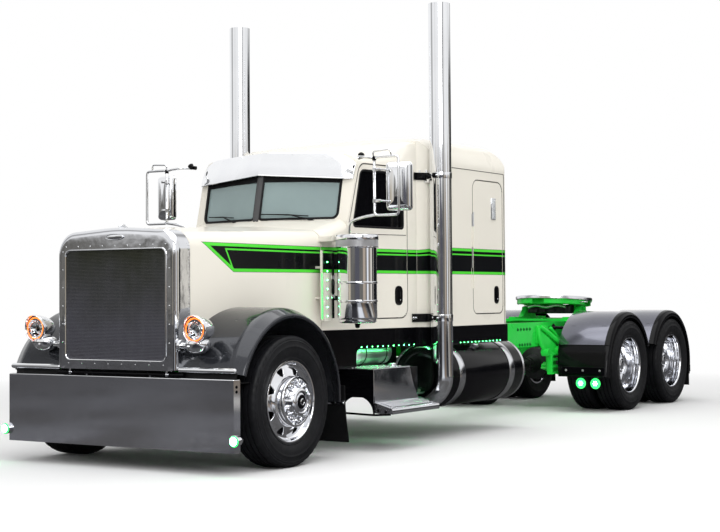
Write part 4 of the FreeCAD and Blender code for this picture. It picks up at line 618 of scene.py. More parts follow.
def spaced(loop, count):
    """That many points, evenly along a closed flat outline."""
    loop = [Vector(point) for point in loop]
    lengths = [(loop[(index + 1) % len(loop)] - point).length for index, point in enumerate(loop)]
    step, wanted, gone, made = sum(lengths) / count, 0.0, 0.0, []
    for index, length in enumerate(lengths):
        while wanted < gone + length - 1e-9 and len(made) < count:
            share = (wanted - gone) / length
            made.append(loop[index].lerp(loop[(index + 1) % len(loop)], share))
            wanted += step
        gone += length
    return made


def pierced(form, place, axis, inner, outer, rise, holes, corners, corner_radius, depth):
    """A dished ring with rounded openings. Corners are (sideways, radius) of one opening."""
    place, axis = Vector(place), Vector(axis)
    first, second = frame_of(axis)
    side_steps = 8
    sector = 2 * pi / holes
    outline = spaced(rounded_loop(corners, corner_radius), side_steps * 4)

    def at(angle, radius, sink=0.0):
        return place + axis * (rise(radius) - sink) + (first * cos(angle) + second * sin(angle)) * radius

    for hole in range(holes):
        middle = sector * (hole + 0.5)
        left, right = middle - sector / 2, middle + sector / 2
        limits = ((left, outer), (right, outer), (right, inner), (left, inner), (left, outer))
        border = [
            (a + (b - a) * step / side_steps, r + (s - r) * step / side_steps)
            for (a, r), (b, s) in zip(limits, limits[1:]) for step in range(side_steps)
        ]
        edge = [(middle + point.x / point.y, point.y) for point in outline]
        hub = (middle, sum(point.y for point in outline) / len(outline))
        rows = []
        for shrink, sink in ((0.93, depth), (0.93, 0.004), (0.96, 0.0012)):
            rows.append(
                [at(hub[0] + (a - hub[0]) * shrink, hub[1] + (r - hub[1]) * shrink, sink) for a, r in edge]
            )
        for share in (0.0, 0.12, 0.4, 0.7, 1.0):
            rows.append(
                [at(a + (b - a) * share, r + (s - r) * share) for (a, r), (b, s) in zip(edge, border)]
            )
        form.skin(rows)


def lug_nuts(form, place, radius, count=10, size=0.0185):
    """Flanged nuts on their studs in a ring."""
    for index in range(count):
        angle = 2 * pi * (index + 0.5) / count
        spot = place + round_x(angle, radius)
        form.lathe(spot, X, [(size * 1.3, 0), (size * 1.3, 0.003), (size * 1.08, 0.007)], 20)
        form.lathe(
            spot, X, [(size, 0.004), (size, 0.026), (size * 0.86, 0.0295), (size * 0.6, 0.030)], 6, turn=angle
        )
        form.lathe(spot, X, "11.5 28, 11.5 44, 9 48, 0 49.5", 14)


def wheel_rise(knots):
    """The height of a wheel's face at a radius, smooth between its knots."""
    def rise(radius):
        for (low, first), (high, last) in zip(knots, knots[1:]):
            if radius <= high:
                share = max(0.0, (radius - low) / (high - low))
                share = share * share * (3 - 2 * share)
                return first + (last - first) * share
        return knots[-1][1]
    return rise


def lip(back=0.0):
    """The rim's rolled outer edge, from the tyre's side to the barrel."""
    return mm(
        "312 back-16, 326.2 back-14, 326.2 back-4, 323.5 back-0.6, 319 back, 313 back-0.4, 309 back-4, "
        "306 back-12", back=back
    )


HUB_OUT = 0.030


def front_wheel(form):
    place = Vector((OUTER_X, AXLE, HUB))
    rise = wheel_rise(mm("200 -14, 232 -30, 285 -46"))
    form.lathe(place, X, lip() + mm("300 -30, 294 -40, 285 -46"), 64)
    opening = mm("-50 274, 50 274, 14 211, -14 211")
    pierced(form, place, X, 0.200, 0.285, rise, 8, opening, 0.026, 0.030)
    form.lathe(place, X, [(0.200, -0.014), (0.1985, -0.008), (0.1985, 0.016 + HUB_OUT)], 64)
    hub = place + X * HUB_OUT
    form.lathe(hub, X, "198.5 16, 196.5 22, 193 25", 64)
    form.lathe(hub, X, "193 25, 179 26, 176 24, 174.5 18, 174 2", 64)
    form.lathe(hub, X, "174 2, 133 2, 129 6, 124 20, 116 40", 64)
    form.lathe(hub, X, "116 40, 110 52, 107 56, 107 60, 103 64, 96 66", 64)
    form.lathe(hub, X, "96 66, 92 69, 88 69.5, 85 66", 64)
    lug_nuts(form, hub + X * 0.002, 0.1540)
    form.index = 1
    form.lathe(hub, X, "85 66, 80 62, 60 63, 56 66", 64)
    form.index = 2
    form.lathe(hub, X, "56 66, 53.5 69, 40 71, 20 73.5, 0 74", 64)
    form.index = 0
    form.lathe(hub, X, "27.5 72.5, 27.5 76.5, 21.5 78, 20 76.2, 20 73", 48)
    back = -2 * RIM_HALF
    form.lathe(
        place, X,
        "312 -16, 304 -30, 296 -70, 296 back+50, 304 back+30, 312 back+14, 326.2 back+12, 326.2 back, "
        "309 back, 300 back+20",
        64, back=back
    )
    # Near-black metal behind the openings and inside the barrel: painted shade in the wheel's hollow.
    form.index = 3
    form.lathe(
        place, X, "300 back+20, 292 -100, 286 -82, 215 -82, 211 -120, 211 back+3, 150 back+1, 41.2 back+1",
        64, back=back
    )


def drive_wheels(y):
    """The outer and the inner wheel of one end, back to back on their hub."""
    def make(form):
        place = Vector((DUAL_X, y, HUB))
        rise = wheel_rise(mm("196 -238, 230 -226, 270 -207"))
        barrel = mm("303 -30, 299 -80, 295 -140, 289 -180, 281 -200")
        form.lathe(place, X, lip() + barrel + [(0.270, -0.207)], 64)
        opening = mm("-40 262, 40 262, 18 206, -18 206")
        pierced(form, place, X, 0.196, 0.270, rise, 8, opening, 0.022, 0.020)
        form.lathe(
            place, X,
            "196 -238, 190 -240, 186 -236, 130 -236, 124.5 -230, 121.5 -170, 118 -158, 112 -152, 106 -150", 64
        )
        form.lathe(
            place, X,
            "106 -150, 103 -146, 98.5 -112, 95 -104, 88 -98.5, 56 -95.5, 52 -92, 30 -90, 0 -89.5", 64
        )
        lug_nuts(form, place - X * 0.236, 0.1580)
        for spot in circle(place - X * 0.099, 0.0735, Y, Z, 8):
            form.bolt(spot, X, 0.0075)
        width, apart = 2 * RIM_HALF, DUAL_SPACING
        far = apart + width
        form.lathe(
            place, X,
            "312 -16, 302 -40, 296 -120, 302 -width+30, 326.2 -width+12, 326.2 -width, 309 -width, "
            "290 -width-4, 290 -apart+4, 309 -apart, 326.2 -apart, 326.2 -apart-12, 300 -apart-40, "
            "296 -apart-120, 302 -far+30, 326.2 -far+12, 326.2 -far, 309 -far, 298 -far+30", 64, width=width,
            apart=apart, far=far
        )
        # Near-black metal on the inner wheel's barrel and back, and the disc behind the openings: painted shade in
        # the wheels' hollow.
        form.index = 1
        form.lathe(
            place, X,
            [
                (0.298, -far + 0.03), (0.290, -apart - 0.03), (0.212, -apart - 0.035), (0.212, -far - 0.006),
                (0.150, -far - 0.008), (0.0612, -far - 0.008)
            ], 64
        )
        form.lathe(place, X, "290 -262, 180 -264, 180 -262, 290 -260", 48)
    return make


def wheels():
    def front_tyre(form):
        tyre(form, OUTER_X - RIM_HALF, AXLE)

    both(front_tyre, "front_tyre_rubber", "front_wheel", "tyre_rubber", replaces="{side}_front_tyre")
    both(
        front_wheel, "front_wheel_polished", "front_wheel", "wheel_metal",
        "wheel_metal bumper_metal black_paint cast_metal", replaces="{side}_front_wheel"
    )
    for order, y in DRIVE_AXLES.items():
        def tyres(form):
            tyre(form, DUAL_X - RIM_HALF, y)
            tyre(form, DUAL_X - RIM_HALF - DUAL_SPACING, y)
        own = f"{order}_drive"
        both(tyres, f"{own}_tyre_rubber", own, "tyre_rubber", replaces="{side}_" + own + "_tyres")
        both(
            drive_wheels(y), f"{own}_wheel_polished", own, "wheel_metal", "wheel_metal cast_metal",
            replaces="{side}_" + own + "_wheels"
        )


# ---------------------------------------------------------------- front end

SHELL_LOW, SHELL_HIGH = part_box("grille_shell")
SCREEN_LOW, SCREEN_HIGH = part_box("grille_screen")


def grille():
    """Woven wires in front of the screen's backing, a bright bead round them, and rivets on the shell."""
    face = SCREEN_LOW.y
    half, low, high = SCREEN_HIGH.x, SCREEN_LOW.z, SCREEN_HIGH.z
    pitch, wire = 0.0112, 0.0016

    def room(distance, corner):
        """How much shorter a wire is at a distance from the side where the corners begin."""
        if distance >= corner:
            return 0.0
        return corner - sqrt(corner**2 - (corner - distance) ** 2)

    form = Form()
    for index in range(1, int((high - low) / pitch)):
        z = low + index * pitch
        reach = half - 0.002 - max(room(z - low, 0.040), room(high - z, 0.060))
        form.tube([(-reach, face - 0.0014, z), (reach, face - 0.0014, z)], wire, 6)
    for index in range(-int(half / pitch), int(half / pitch) + 1):
        x = index * pitch
        gone = half - abs(x)
        form.tube(
            [
                (x, face - 0.0004, low + 0.002 + room(gone, 0.040)),
                (x, face - 0.0004, high - 0.002 - room(gone, 0.060))
            ], wire * 0.8, 6
        )
    form.done("grille_wires", "hood", "mesh_metal", "wire_metal")

    form = Form()
    front = SHELL_LOW.y
    edge = 0.004
    corners = [
        (-half - edge, low - edge), (half + edge, low - edge), (half + edge, high + edge),
        (-half - edge, high + edge)
    ]
    loop = [Vector((point.x, front - 0.001, point.y)) for point in rounded_loop(corners, 0.052)]
    form.loop(loop, 0.0075, 10)
    for index in range(9):
        form.rivet((-0.516 + 0.129 * index, front, high + 0.033), -Y, 0.0062)
    for index in range(8):
        form.rivet((-0.490 + 0.140 * index, front, low - 0.033), -Y, 0.0062)
    for index in range(6):
        for _, way in SIDES:
            form.rivet((way * (half + 0.036), front, 0.984 + 0.144 * index), -Y, 0.0062)
    for index in range(28):
        for _, way in SIDES:
            form.rivet((way * SHELL_HIGH.x, SHELL_HIGH.y - 0.014, 1.060 + 0.026 * index), X * way, 0.0042, 8)
    form.done("grille_trim", "hood", "polished_metal")

    form = Form()
    oval = [Vector((0.088 * cos(a), 0.021 * sin(a), 0)) for a in turns(48)]
    plate = [Vector((p.x, front + 0.002, 1.812 + p.y)) for p in oval]
    form.slab(plate, -Y * 0.010, 0.004)
    form.loop([Vector((p.x * 1.02, front - 0.008, 1.812 + p.y * 1.06)) for p in oval], 0.0032, 8)
    rows = []
    for back, width, height in mm("0 0 0, 4.4 6 10, 16.5 11 20, 44 13 28, 77 9 22, 110 2 4"):
        y, z = front + 0.045 + back, 1.893
        rows.append([
            Vector((width * cos(a), y, z + height * (0.5 + 0.5 * sin(a)))) for a in turns(14 if width else 1)
        ])
    form.skin(rows, caps=True)
    form.done("shell_boss", "hood", "polished_metal")


LAMP = Vector((0.824, AXLE - 0.775, 1.092))


def headlight(form):
    """Bullet housing with a brow, a lit halo, a faceted reflector and a clear lens, on its bracket."""
    def ring(radius, height, brow=0.0, wave=0.0, steps=48):
        row = []
        for step, a in enumerate(turns(steps)):
            up = max(0.0, sin(a)) ** 1.4
            reach = radius * (1 + wave * (step % 2))
            row.append(LAMP + Vector((reach * cos(a), -height - brow * up, reach * sin(a))))
        return row

    shell = mm("0 -205, 16 -203.5, 32 -198, 50 -185, 66 -163, 80 -135, 92 -98, 100 -60, 104.5 -30, 105.5 -12")
    rows = [[LAMP + Vector((0, 0.205, 0))]] + [ring(r, h) for r, h in shell[1:]]
    form.skin(rows)
    bezel = mm(
        "105.5 -12 0, 109 -10 0, 109.8 -4 0, 108.8 2 12, 107 6 22, 103.5 8 24, 101 6 20, 98.5 -2 4, 96 -6 0"
    )
    form.skin([ring(*knot) for knot in bezel])
    form.skin([ring(0.096, -0.006), ring(0.0935, 0.0), ring(0.0900, 0.0), ring(0.0880, -0.006)])
    form.index = 1
    form.loop(circle(LAMP + Y * 0.004, 0.0838, X, Z), 0.0044, 10)
    form.index = 0
    form.skin([
        ring(0.079, -0.004), ring(0.077, -0.010), ring(0.068, -0.028, wave=0.05),
        ring(0.052, -0.044, wave=0.07), ring(0.034, -0.054, wave=0.05), ring(0.030, -0.050),
        ring(0.030, -0.030), ring(0.027, -0.028)
    ])
    for spot in circle(LAMP + Y * 0.030, 0.049, X, Z, 3, pi / 2):
        form.lathe(spot, -Y, "13 0, 13 12, 11 14, 10 10", 16)
        form.index = 2
        form.lathe(spot, -Y, "10.5 10, 7 13, 0 14.5", 16)
        form.index = 0
    form.index = 2
    form.skin([ring(0.027, -0.028), ring(0.020, -0.021), ring(0.010, -0.017), [LAMP + Vector((0, 0.016, 0))]])
    form.index = 0
    cup = Vector((0.790, LAMP.y + 0.085, 0.922))
    form.lathe(cup, Z, "0 -16, 34 -14, 62 -6, 82 10, 94 34, 98 60, 94 80, 82 94, 60 102, 40 104", 40)
    form.tube(rounded(mm("790 y 972, 700 y+10 966, 604 y+12 966", y=cup.y), 0.03), 0.024, 16)
    form.lathe((0.622, cup.y + 0.012, 0.966), -X, "20 -10, 44 -8, 46 0, 46 14, 20 16", 24)
    form.bolt((0.852, cup.y - 0.078, 0.984), Vector((0.6, -0.8, 0)), 0.0115)
    form.bolt((0.768, cup.y - 0.095, 0.962), -Y, 0.0085)


def headlight_lens(form):
    place = LAMP + Vector((0, 0.001, 0))
    outside = mm("90.5 0, 80 7.5, 60 14.5, 35 18.5, 0 20")
    inside = [(radius, height - 0.003) for radius, height in reversed(outside)]
    form.lathe(place, -Y, outside, 48)
    form.lathe(place, -Y, inside, 48)
    form.lathe(place, -Y, "90.5 0, 90.5 -3", 48)


def front_trims(form):
    """Bright bar on the front edge of the fender, ends rounded."""
    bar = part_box("front_fenders")[0]
    points = mm("613 y-3 781.5, 618 y-3 781.5, 1140 y-3 781.5, 1152 y-3 781.5, 1158 y-2 781.5", y=bar.y)
    form.tube(points, [0.017, 0.0215, 0.0215, 0.018, 0.007], 16)


BUMPER_LOW, BUMPER_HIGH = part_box("front_bumper")


def bumper_fittings(form):
    """Bullet marker lamp on a stub from the bumper's end, and the two bolts at its upper corner."""
    x, y, z = BUMPER_HIGH.x + 0.020, BUMPER_LOW.y - 0.004, 0.266
    grow = 1.24
    bullet = "0 -78, 8 -77, 18 -68, 27 -50, 32.5 -28, 34.5 -6, 34.5 10, 36.5 12, 36.5 20, 34 22, 32.5 20"
    form.lathe((x, y, z), -Y, [(radius * grow, height) for radius, height in mm(bullet)], 32)
    form.tube([(BUMPER_HIGH.x - 0.004, y + 0.018, z), (x, y + 0.018, z)], 0.011, 14)
    form.lathe((BUMPER_HIGH.x, y + 0.018, z), X, "19 -1, 19 3, 15 6, 0 6", 20)
    form.index = 2
    form.lathe((x, y, z), -Y, [(0.0330 * grow, 0.018), (0.0320 * grow, 0.024), (0.0265 * grow, 0.031)], 32)
    form.index = 1
    form.lathe(
        (x, y, z), -Y, [(0.0265 * grow, 0.031), (0.0200 * grow, 0.037), (0.0100 * grow, 0.0405), (0, 0.0415)],
        32
    )
    form.index = 3
    for height in (0.664, 0.628):
        form.bolt((BUMPER_HIGH.x - 0.001, BUMPER_LOW.y + 0.036, height), X, 0.0085)


def bumper():
    form = Form()
    top = 0.714
    half = BUMPER_HIGH.x - 0.02
    form.block((-half, BUMPER_LOW.y + 0.062, top - 0.03), (half, BUMPER_LOW.y + 0.068, top + 0.048), 0.002)
    form.block((-half, BUMPER_LOW.y + 0.062, top - 0.03), (half, BUMPER_LOW.y + 0.290, top - 0.024), 0.002)
    form.done("bumper_valance", "chassis", "flap_rubber")
    form = Form()
    edge = 0.0055
    x, y = BUMPER_HIGH.x - edge, BUMPER_LOW.y + edge - 0.001
    form.tube(
        rounded([(-x, y + 0.070, top), (-x, y, top), (x, y, top), (x, y + 0.070, top)], 0.004), edge, 10
    )
    form.done("bumper_lip", "chassis", "polished_metal")


def front_end():
    grille()
    bumper()
    both(
        headlight, "headlight_bullet", "hood", "polished_metal", "polished_metal amber_halo lens_glass",
        replaces="headlights"
    )
    both(headlight_lens, "headlight_lens", "hood", "window_glass", "lens_glass")
    both(front_trims, "fender_bar", "hood", "polished_metal")
    both(
        bumper_fittings, "bumper_lamp", "chassis", "polished_metal",
        "polished_metal led_core green_lamp black_paint"
    )


# ---------------------------------------------------------------- cab places and outlines

CAB_SLOPE = 0.14 / 1.362
CAB_ANGLE = atan(CAB_SLOPE)
OUTWARD = Vector((cos(CAB_ANGLE), -sin(CAB_ANGLE), 0))
REARWARD = Vector((sin(CAB_ANGLE), cos(CAB_ANGLE), 0))
COWL_HALF, COWL_BACK = 0.800, 0.978
SCREEN_BACK, SCREEN_FOOT = 1.120, 1.998
SCREEN_SWEEP, SCREEN_LEAN = 0.2776, 0.21
DOOR_FRONT = 1.358


def side_half(back):
    """The cab's half width at a distance behind the front axle."""
    return COWL_HALF + (back - COWL_BACK) * CAB_SLOPE


def on_side(back, z, out=0.0):
    """A place on the cab's left face, or a little outside it."""
    return pos(side_half(back), back, z) + OUTWARD * out


def on_door(along, z, out=0.0):
    """A place in the door's plane, measured from the door's front edge."""
    return on_side(DOOR_FRONT, z, out) + REARWARD * along


def on_screen(x, z, out=0.0):
    """A place on the divided windscreen's outer face, or a little outside it."""
    side = 1 if x >= 0 else -1
    face = pos(x, SCREEN_BACK + (z - SCREEN_FOOT) * SCREEN_LEAN + SCREEN_SWEEP * abs(x), z)
    return face + Vector((side * SCREEN_SWEEP, -1, SCREEN_LEAN)).normalized() * out


def outline(corners, grow=0.0, steps=6):
    """A closed loop of (u, v) points with true arcs, from (u, v, radius) corners grown outwards."""
    count = len(corners)
    points = [Vector(corner[:2]) for corner in corners]
    area = sum(a.x * b.y - b.x * a.y for a, b in zip(points, points[1:] + points[:1]))
    way = 1 if area > 0 else -1
    lines = []
    for index, here in enumerate(points):
        along = (points[(index + 1) % count] - here).normalized()
        lines.append((here + Vector((along.y, -along.x)) * way * grow, along))
    loop = []
    for index in range(count):
        (first, into), (second, out) = lines[index - 1], lines[index]
        cross = into.x * out.y - into.y * out.x
        gap = second - first
        corner = first + into * ((gap.x * out.y - gap.y * out.x) / cross)
        radius = max(corners[index][2] + grow, 0.0008) if corners[index][2] else 0.0008
        half = into.angle(out) / 2
        middle = corner + (out - into).normalized() * radius / cos(half)
        spoke = corner - into * radius * tan(half) - middle
        for step in range(steps + 1):
            angle = copysign(2 * half * step / steps, cross)
            turned = Vector(
                (spoke.x * cos(angle) - spoke.y * sin(angle), spoke.x * sin(angle) + spoke.y * cos(angle))
            )
            loop.append(middle + turned)
    return loop


def oblong(u, v, width, height, third):
    """The corners of an oblong round (u, v), each with a third number such as an outline's radius."""
    return [(u + width / 2 * a, v + height / 2 * b, third) for a, b in ((-1, -1), (1, -1), (1, 1), (-1, 1))]


def edging(form, corners, place, profile, closed=True, steps=6):
    """A moulding along an outline. Its section is a list of (outwards in the plane, proud of it)."""
    rows = [[place(*point, out) for point in outline(corners, grow, steps)] for grow, out in profile]
    form.skin(rows, closed=closed)


def polar(loop, middle, count):
    """Where an outline lies from its middle, at evenly spaced angles."""
    middle = Vector(middle)
    found = []
    spokes = [point - middle for point in loop]
    for angle in turns(count):
        way = Vector((cos(angle), sin(angle)))
        best = 0.0
        for a, b in zip(spokes, spokes[1:] + spokes[:1]):
            edge = b - a
            cross = way.x * edge.y - way.y * edge.x
            if abs(cross) < 1e-12:
                continue
            reach = (a.x * edge.y - a.y * edge.x) / cross
            share = (a.x * way.y - a.y * way.x) / cross
            if reach > 0 and -1e-9 <= share <= 1 + 1e-9:
                best = max(best, reach)
        found.append(middle + way * best)
    return found


# ---------------------------------------------------------------- grille shell

def shell():
    """Crowned shell whose front edge rolls over, broader on top than at the sides, on its two pivot lugs."""
    low, high = 0.770, SHELL_HIGH.z
    half = SHELL_HIGH.x
    front, back = SHELL_LOW.y, SHELL_HIGH.y
    corners = mm(
        "-half low 4, half low 4, half high-40 165, 0 high 2500, -half high-40 165", half=half, low=low,
        high=high
    )
    count = 240
    middle = (0.0, 1.30)
    full = polar(outline(corners, 0.0, 12), middle, count)
    edge = 0.0003
    opening = [
        (-0.515 - edge, 0.848 - edge, 0.04), (0.515 + edge, 0.848 - edge, 0.04),
        (0.515 + edge, 1.712 + edge, 0.06), (-0.515 - edge, 1.712 + edge, 0.06)
    ]
    hole = polar(outline(opening, 0.0, 8), middle, count)

    def section(inset, drop, y, rise=0.003):
        sides, top = (half - inset) / half, (high - drop - low - rise) / (high - low)
        return [Vector((point.x * sides, y, low + rise + (point.y - low) * top)) for point in full]

    rows = [section(0.0, 0.0, back, 0.0), section(0.0, 0.0, front + 0.062, 0.0)]
    for step in range(1, 11):
        angle = pi / 2 * step / 10
        inward = 1 - cos(angle)
        depth = front + 0.058 * (1 - sin(angle)) ** 1.15
        rows.append(section(0.030 * inward, 0.052 * inward, depth, 0.003 * inward))
    face = rows[-1]
    for share in (0.35, 0.7, 1.0):
        rows.append([a.lerp(Vector((b.x, front, b.y)), share) for a, b in zip(face, hole)])
    rows.append([Vector((point.x, front + 0.018, point.y)) for point in hole])
    rows.append([a.lerp(Vector((b.x, front + 0.020, b.y)), 0.82) + Y * 0.02 for a, b in zip(face, hole)])
    rows.append(section(0.020, 0.020, front + 0.09, 0.02))
    rows.append(section(0.020, 0.020, back, 0.02))
    form = Form()
    form.skin(rows, closed=True)
    pivot = centre_of_pivot()
    for x in (0.500, -0.500):
        form.lathe((x - 0.010, pivot.y, pivot.z), X, "12.2 0, 21 0, 21 20, 12.2 20, 12.2 0", 28)
        form.block(
            (x - 0.010, pivot.y - 0.019, pivot.z + 0.008), (x + 0.010, pivot.y + 0.019, low + 0.012), 0.003
        )
        form.block((x - 0.032, front + 0.018, low + 0.001), (x + 0.032, back - 0.006, low + 0.014), 0.003)
    form.done("shell_polished", "hood", "polished_metal", "shell_metal", replaces="grille_shell")

    form = Form()
    for start, end in mm("-484 484, -660 -516, 516 660"):
        form.tube([(start, pivot.y, pivot.z), (end, pivot.y, pivot.z)], 0.0145, 20)
    form.done("pivot_sleeve", "chassis", "black_paint")


def centre_of_pivot():
    """Where the hood's hinge line lies."""
    return Vector(next(joint["pos_m"] for joint in frame["joints"] if joint["name"] == "hood_tilt"))


# ---------------------------------------------------------------- visor, screens and wipers

def visor():
    stations = [
        0.0, 0.1, 0.2, 0.3, 0.4, 0.5, 0.58, 0.65, 0.70, 0.74, 0.765, 0.780, 0.792, 0.806, 0.820, 0.832, 0.840
    ]
    corner = 0.775

    def point(x, share, sink=0.0):
        size = abs(x)
        run = 0.254 * min(size, corner)
        if size > corner - 0.012:
            run += max(0.0, size - corner) * 0.90
        low = 2.416 - 0.0645 * min(size, corner)
        high = 2.616 - 0.016 * (size / 0.6) ** 2 if size < 0.6 else 2.6 - 0.1 * ((size - 0.6) / 0.24) ** 2.2
        z = low + (high - low) * share
        back = 1.166 + run + 0.37 * (z - 2.416 + 0.0645 * min(size, corner)) - 0.006 * sin(pi * share) + sink
        return pos(x, back, z)

    xs = [-x for x in reversed(stations[1:])] + stations
    rows = [[point(x, share / 8) for x in xs] for share in range(9)]
    top = rows[-1]
    for inward, back, up in mm("0 6 4, 10 20 7, 24 50 6, 34 70 -30"):
        rows.append([p + Vector((-copysign(inward, p.x) * (abs(p.x) > 0.7), back, up)) for p in top])
    form = Form()
    form.skin(rows, ring=False)
    inner = [[point(x * 0.994, share / 8, 0.004) for x in xs] for share in (0, 8)]
    form.skin([rows[0], inner[0]], ring=False)
    form.tube([point(x, 0.0) + Vector((0, 0.002, 0.002)) for x in xs], 0.0045, 10)
    for way in (1, -1):
        form.tube([point(way * 0.840, share / 8) + Vector((0, 0.001, 0)) for share in range(9)], 0.0035, 8)
    # The black underside and the black ledge back to the screen are painted shade under the visor.
    form.index = 1
    form.skin(inner, ring=False)
    ledge = [
        on_screen(copysign(min(abs(x) * 0.99, 0.752), x), 2.438 - 0.030 * min(abs(x), 0.76), -0.004)
        for x in xs
    ]
    form.skin([[point(x * 0.99, 0.06, 0.005) for x in xs], ledge], ring=False)
    form.index = 0
    for x in (-0.55, -0.28, 0.28, 0.55):
        form.rivet(point(x, 0.93), Vector((0, -1, 0.3)), 0.0045)
    form.done(
        "visor_polished", "chassis", "polished_metal", "visor_metal black_paint", sharp=20,
        replaces="sun_visor"
    )


PANE = mm("30 2020 30, 734 2020 50, 734 2455 40, 30 2455 30")


def moulding(corners, place, section):
    """A maker of a moulding along an outline, such as a window's rubber."""
    def make(form):
        edging(form, corners, place, mm(section), closed=False)
    return make


def screen_shade(form):
    """Black band along the top of one pane, under the visor: a painted shadow of the visor."""
    corners = mm("36 2358, 400 2352, 728 2336, 728 2452, 36 2452")
    form.slab(
        [on_screen(x, z, -0.0142) for x, z in corners],
        (on_screen(0.4, 2.4, 1) - on_screen(0.4, 2.4, 0)) * 0.0125, 0.0
    )


def screen_post():
    form = Form()
    rows = []
    for z in (1.999, 2.006, 2.20, 2.44, 2.470):
        rows.append([
            on_screen(x, z, out * (0.3 if z == 1.999 else 1) - 0.001)
            for x, out in mm("-29 0, -27.5 6.5, -18 8.5, 18 8.5, 27.5 6.5, 29 0")
        ])
    form.skin(rows, ring=False)
    form.done("screen_post", "chassis", "flap_rubber", "post_paint")


def wiper(pivot, elbow, blade_start, blade_end):
    def make(form):
        base = on_screen(*pivot, 0.004)
        normal = (on_screen(*pivot, 0.01) - on_screen(*pivot, 0.0)).normalized()
        form.index = 1
        form.lathe(base - normal * 0.02, normal, "17 0, 17 22, 13 30, 7 36, 0 38", 20)
        form.bolt(base + normal * 0.016, normal, 0.006, washer=False)
        form.index = 0
        joint = on_screen(*elbow, 0.030)
        start = base + normal * 0.014
        form.tube(
            [start, start.lerp(joint, 0.25) + normal * 0.012, start.lerp(joint, 0.7) + normal * 0.008, joint],
            [0.0085, 0.0075, 0.0055, 0.0045], 10
        )
        first, last = on_screen(*blade_start, 0.012), on_screen(*blade_end, 0.012)

        def along(share, lift, side=0.0):
            return first.lerp(last, share) + normal * lift + Z * side

        form.tube([along(k / 8, 0.006 * sin(pi * k / 8)) for k in range(9)], 0.0045, 8)
        form.skin(
            [
                [along(k / 8, 0.002 + 0.006 * sin(pi * k / 8), side) for k in range(9)]
                for side in (0.0035, -0.0035)
            ], ring=False
        )
        form.tube([along(0.22, 0.008), joint, along(0.78, 0.008)], 0.0042, 8)
        for share in (0.22, 0.78):
            form.tube(
                [along(share - 0.14, 0.004), along(share, 0.010), along(share + 0.14, 0.004)], 0.0035, 8
            )
    return make


def wipers():
    for name, spots in (
        ("near_wiper", mm("548 1990, 300 2052, 45 2064, 480 2040")),
        ("far_wiper", mm("-236 1990, -440 2056, -660 2066, -300 2046"))
    ):
        form = Form()
        wiper(*spots)(form)
        form.done(name, "chassis", "black_paint", "flap_rubber polished_metal")


# ---------------------------------------------------------------- mirrors

def mirror(form):
    """Square-cornered tube loop on two arms, with a chrome-backed head turned towards the driver."""
    inner, outer, y = 1.148, 1.391, behind(1.285)
    bar = 0.0115
    low, high = 2.026, 2.526
    loop = [
        (inner, y, 2.30), (inner, y, low), (outer, y, low), (outer, y, high), (inner, y, high),
        (inner, y, 2.30)
    ]
    form.tube(rounded(loop, 0.035, 6), bar, 14)
    upper = [pos(0.952, 1.418, 2.547), pos(0.972, 1.288, 2.540), pos(1.075, 1.262, 2.528), (inner, y, 2.520)]
    form.tube(rounded(upper, 0.06, 6), bar, 14)
    lower = [
        on_side(1.345, 1.800, 0.012), on_side(1.322, 1.870, 0.030), on_side(1.290, 1.975, 0.055),
        pos(1.020, 1.275, 2.012), (inner, y, 2.030)
    ]
    form.tube(rounded(lower, 0.05, 6), bar * 1.05, 14)
    form.tube(
        rounded(
            mm("inner+4 y 2500, inner-10 y-10 2575, inner+165 y-10 2585, inner+175 y 2530", inner=inner, y=y),
            0.03, 6
        ), 0.0075, 12
    )
    form.lathe(on_side(1.345, 1.800), OUTWARD, "0 -4, 26 -4, 26 6, 20 12, 12 18", 24)
    for spot in circle(on_side(1.345, 1.800, 0.006), 0.017, REARWARD, Z, 4, pi / 4):
        form.bolt(spot, OUTWARD, 0.0038, False)
    form.index = 1
    form.lathe(pos(0.940, 1.400, 2.560), Vector((0.9, -0.35, -0.1)), "0 -12, 26 -10, 30 4, 24 24, 14 34", 24)
    form.tube(places("905 1418 2545, 952 1416 2552"), 0.018, 16)
    form.lathe((inner, y, 2.515), Z, "15.5 -18, 17.5 -16, 17.5 16, 15.5 18", 20)
    form.index = 0
    for z in (2.150, 2.420):
        form.block((inner + 0.010, y - 0.010, z - 0.012), (inner + 0.062, y + 0.012, z + 0.012), 0.004)
        form.lathe((inner, y, z), Z, "11.5 -16, 16.5 -15, 16.5 15, 11.5 16", 20)
    head_low, head_high = 2.075, 2.488
    middle = pos(1.290, 1.455, (head_low + head_high) / 2)
    facing = Vector((0.30, -0.954, 0)).normalized()
    across = Vector((0.954, 0.30, 0)).normalized()
    width, height = 0.224, head_high - head_low
    corners = oblong(0, 0, width, height, 0.030)

    def place(u, v, out):
        return middle + across * u + Z * v + facing * out

    profile = mm("0 -30, 2 -26, 2 0, 0 12, -8 28, -22 40, -45 48, -75 52")
    edging(form, corners, place, profile, closed=False, steps=8)
    loop = outline(corners, -0.075, 8)
    form.skin([[place(*point, 0.052) for point in loop], [place(0, 0, 0.054)]])
    form.loop([place(*point, -0.028) for point in outline(corners, 0.001, 8)], 0.0045, 8)
    form.index = 2
    form.skin([[place(*point, -0.026) for point in outline(corners, -0.004, 8)], [place(0, 0, -0.026)]])
    form.index = 0
    for z in (2.150, 2.420):
        form.tube(
            [(inner + 0.050, y, z), middle + across * -0.07 + Z * (z - middle.z) + facing * 0.02], 0.0085, 12
        )


# ---------------------------------------------------------------- air cleaners

CLEANER = pos(1.128, 1.032, 0)


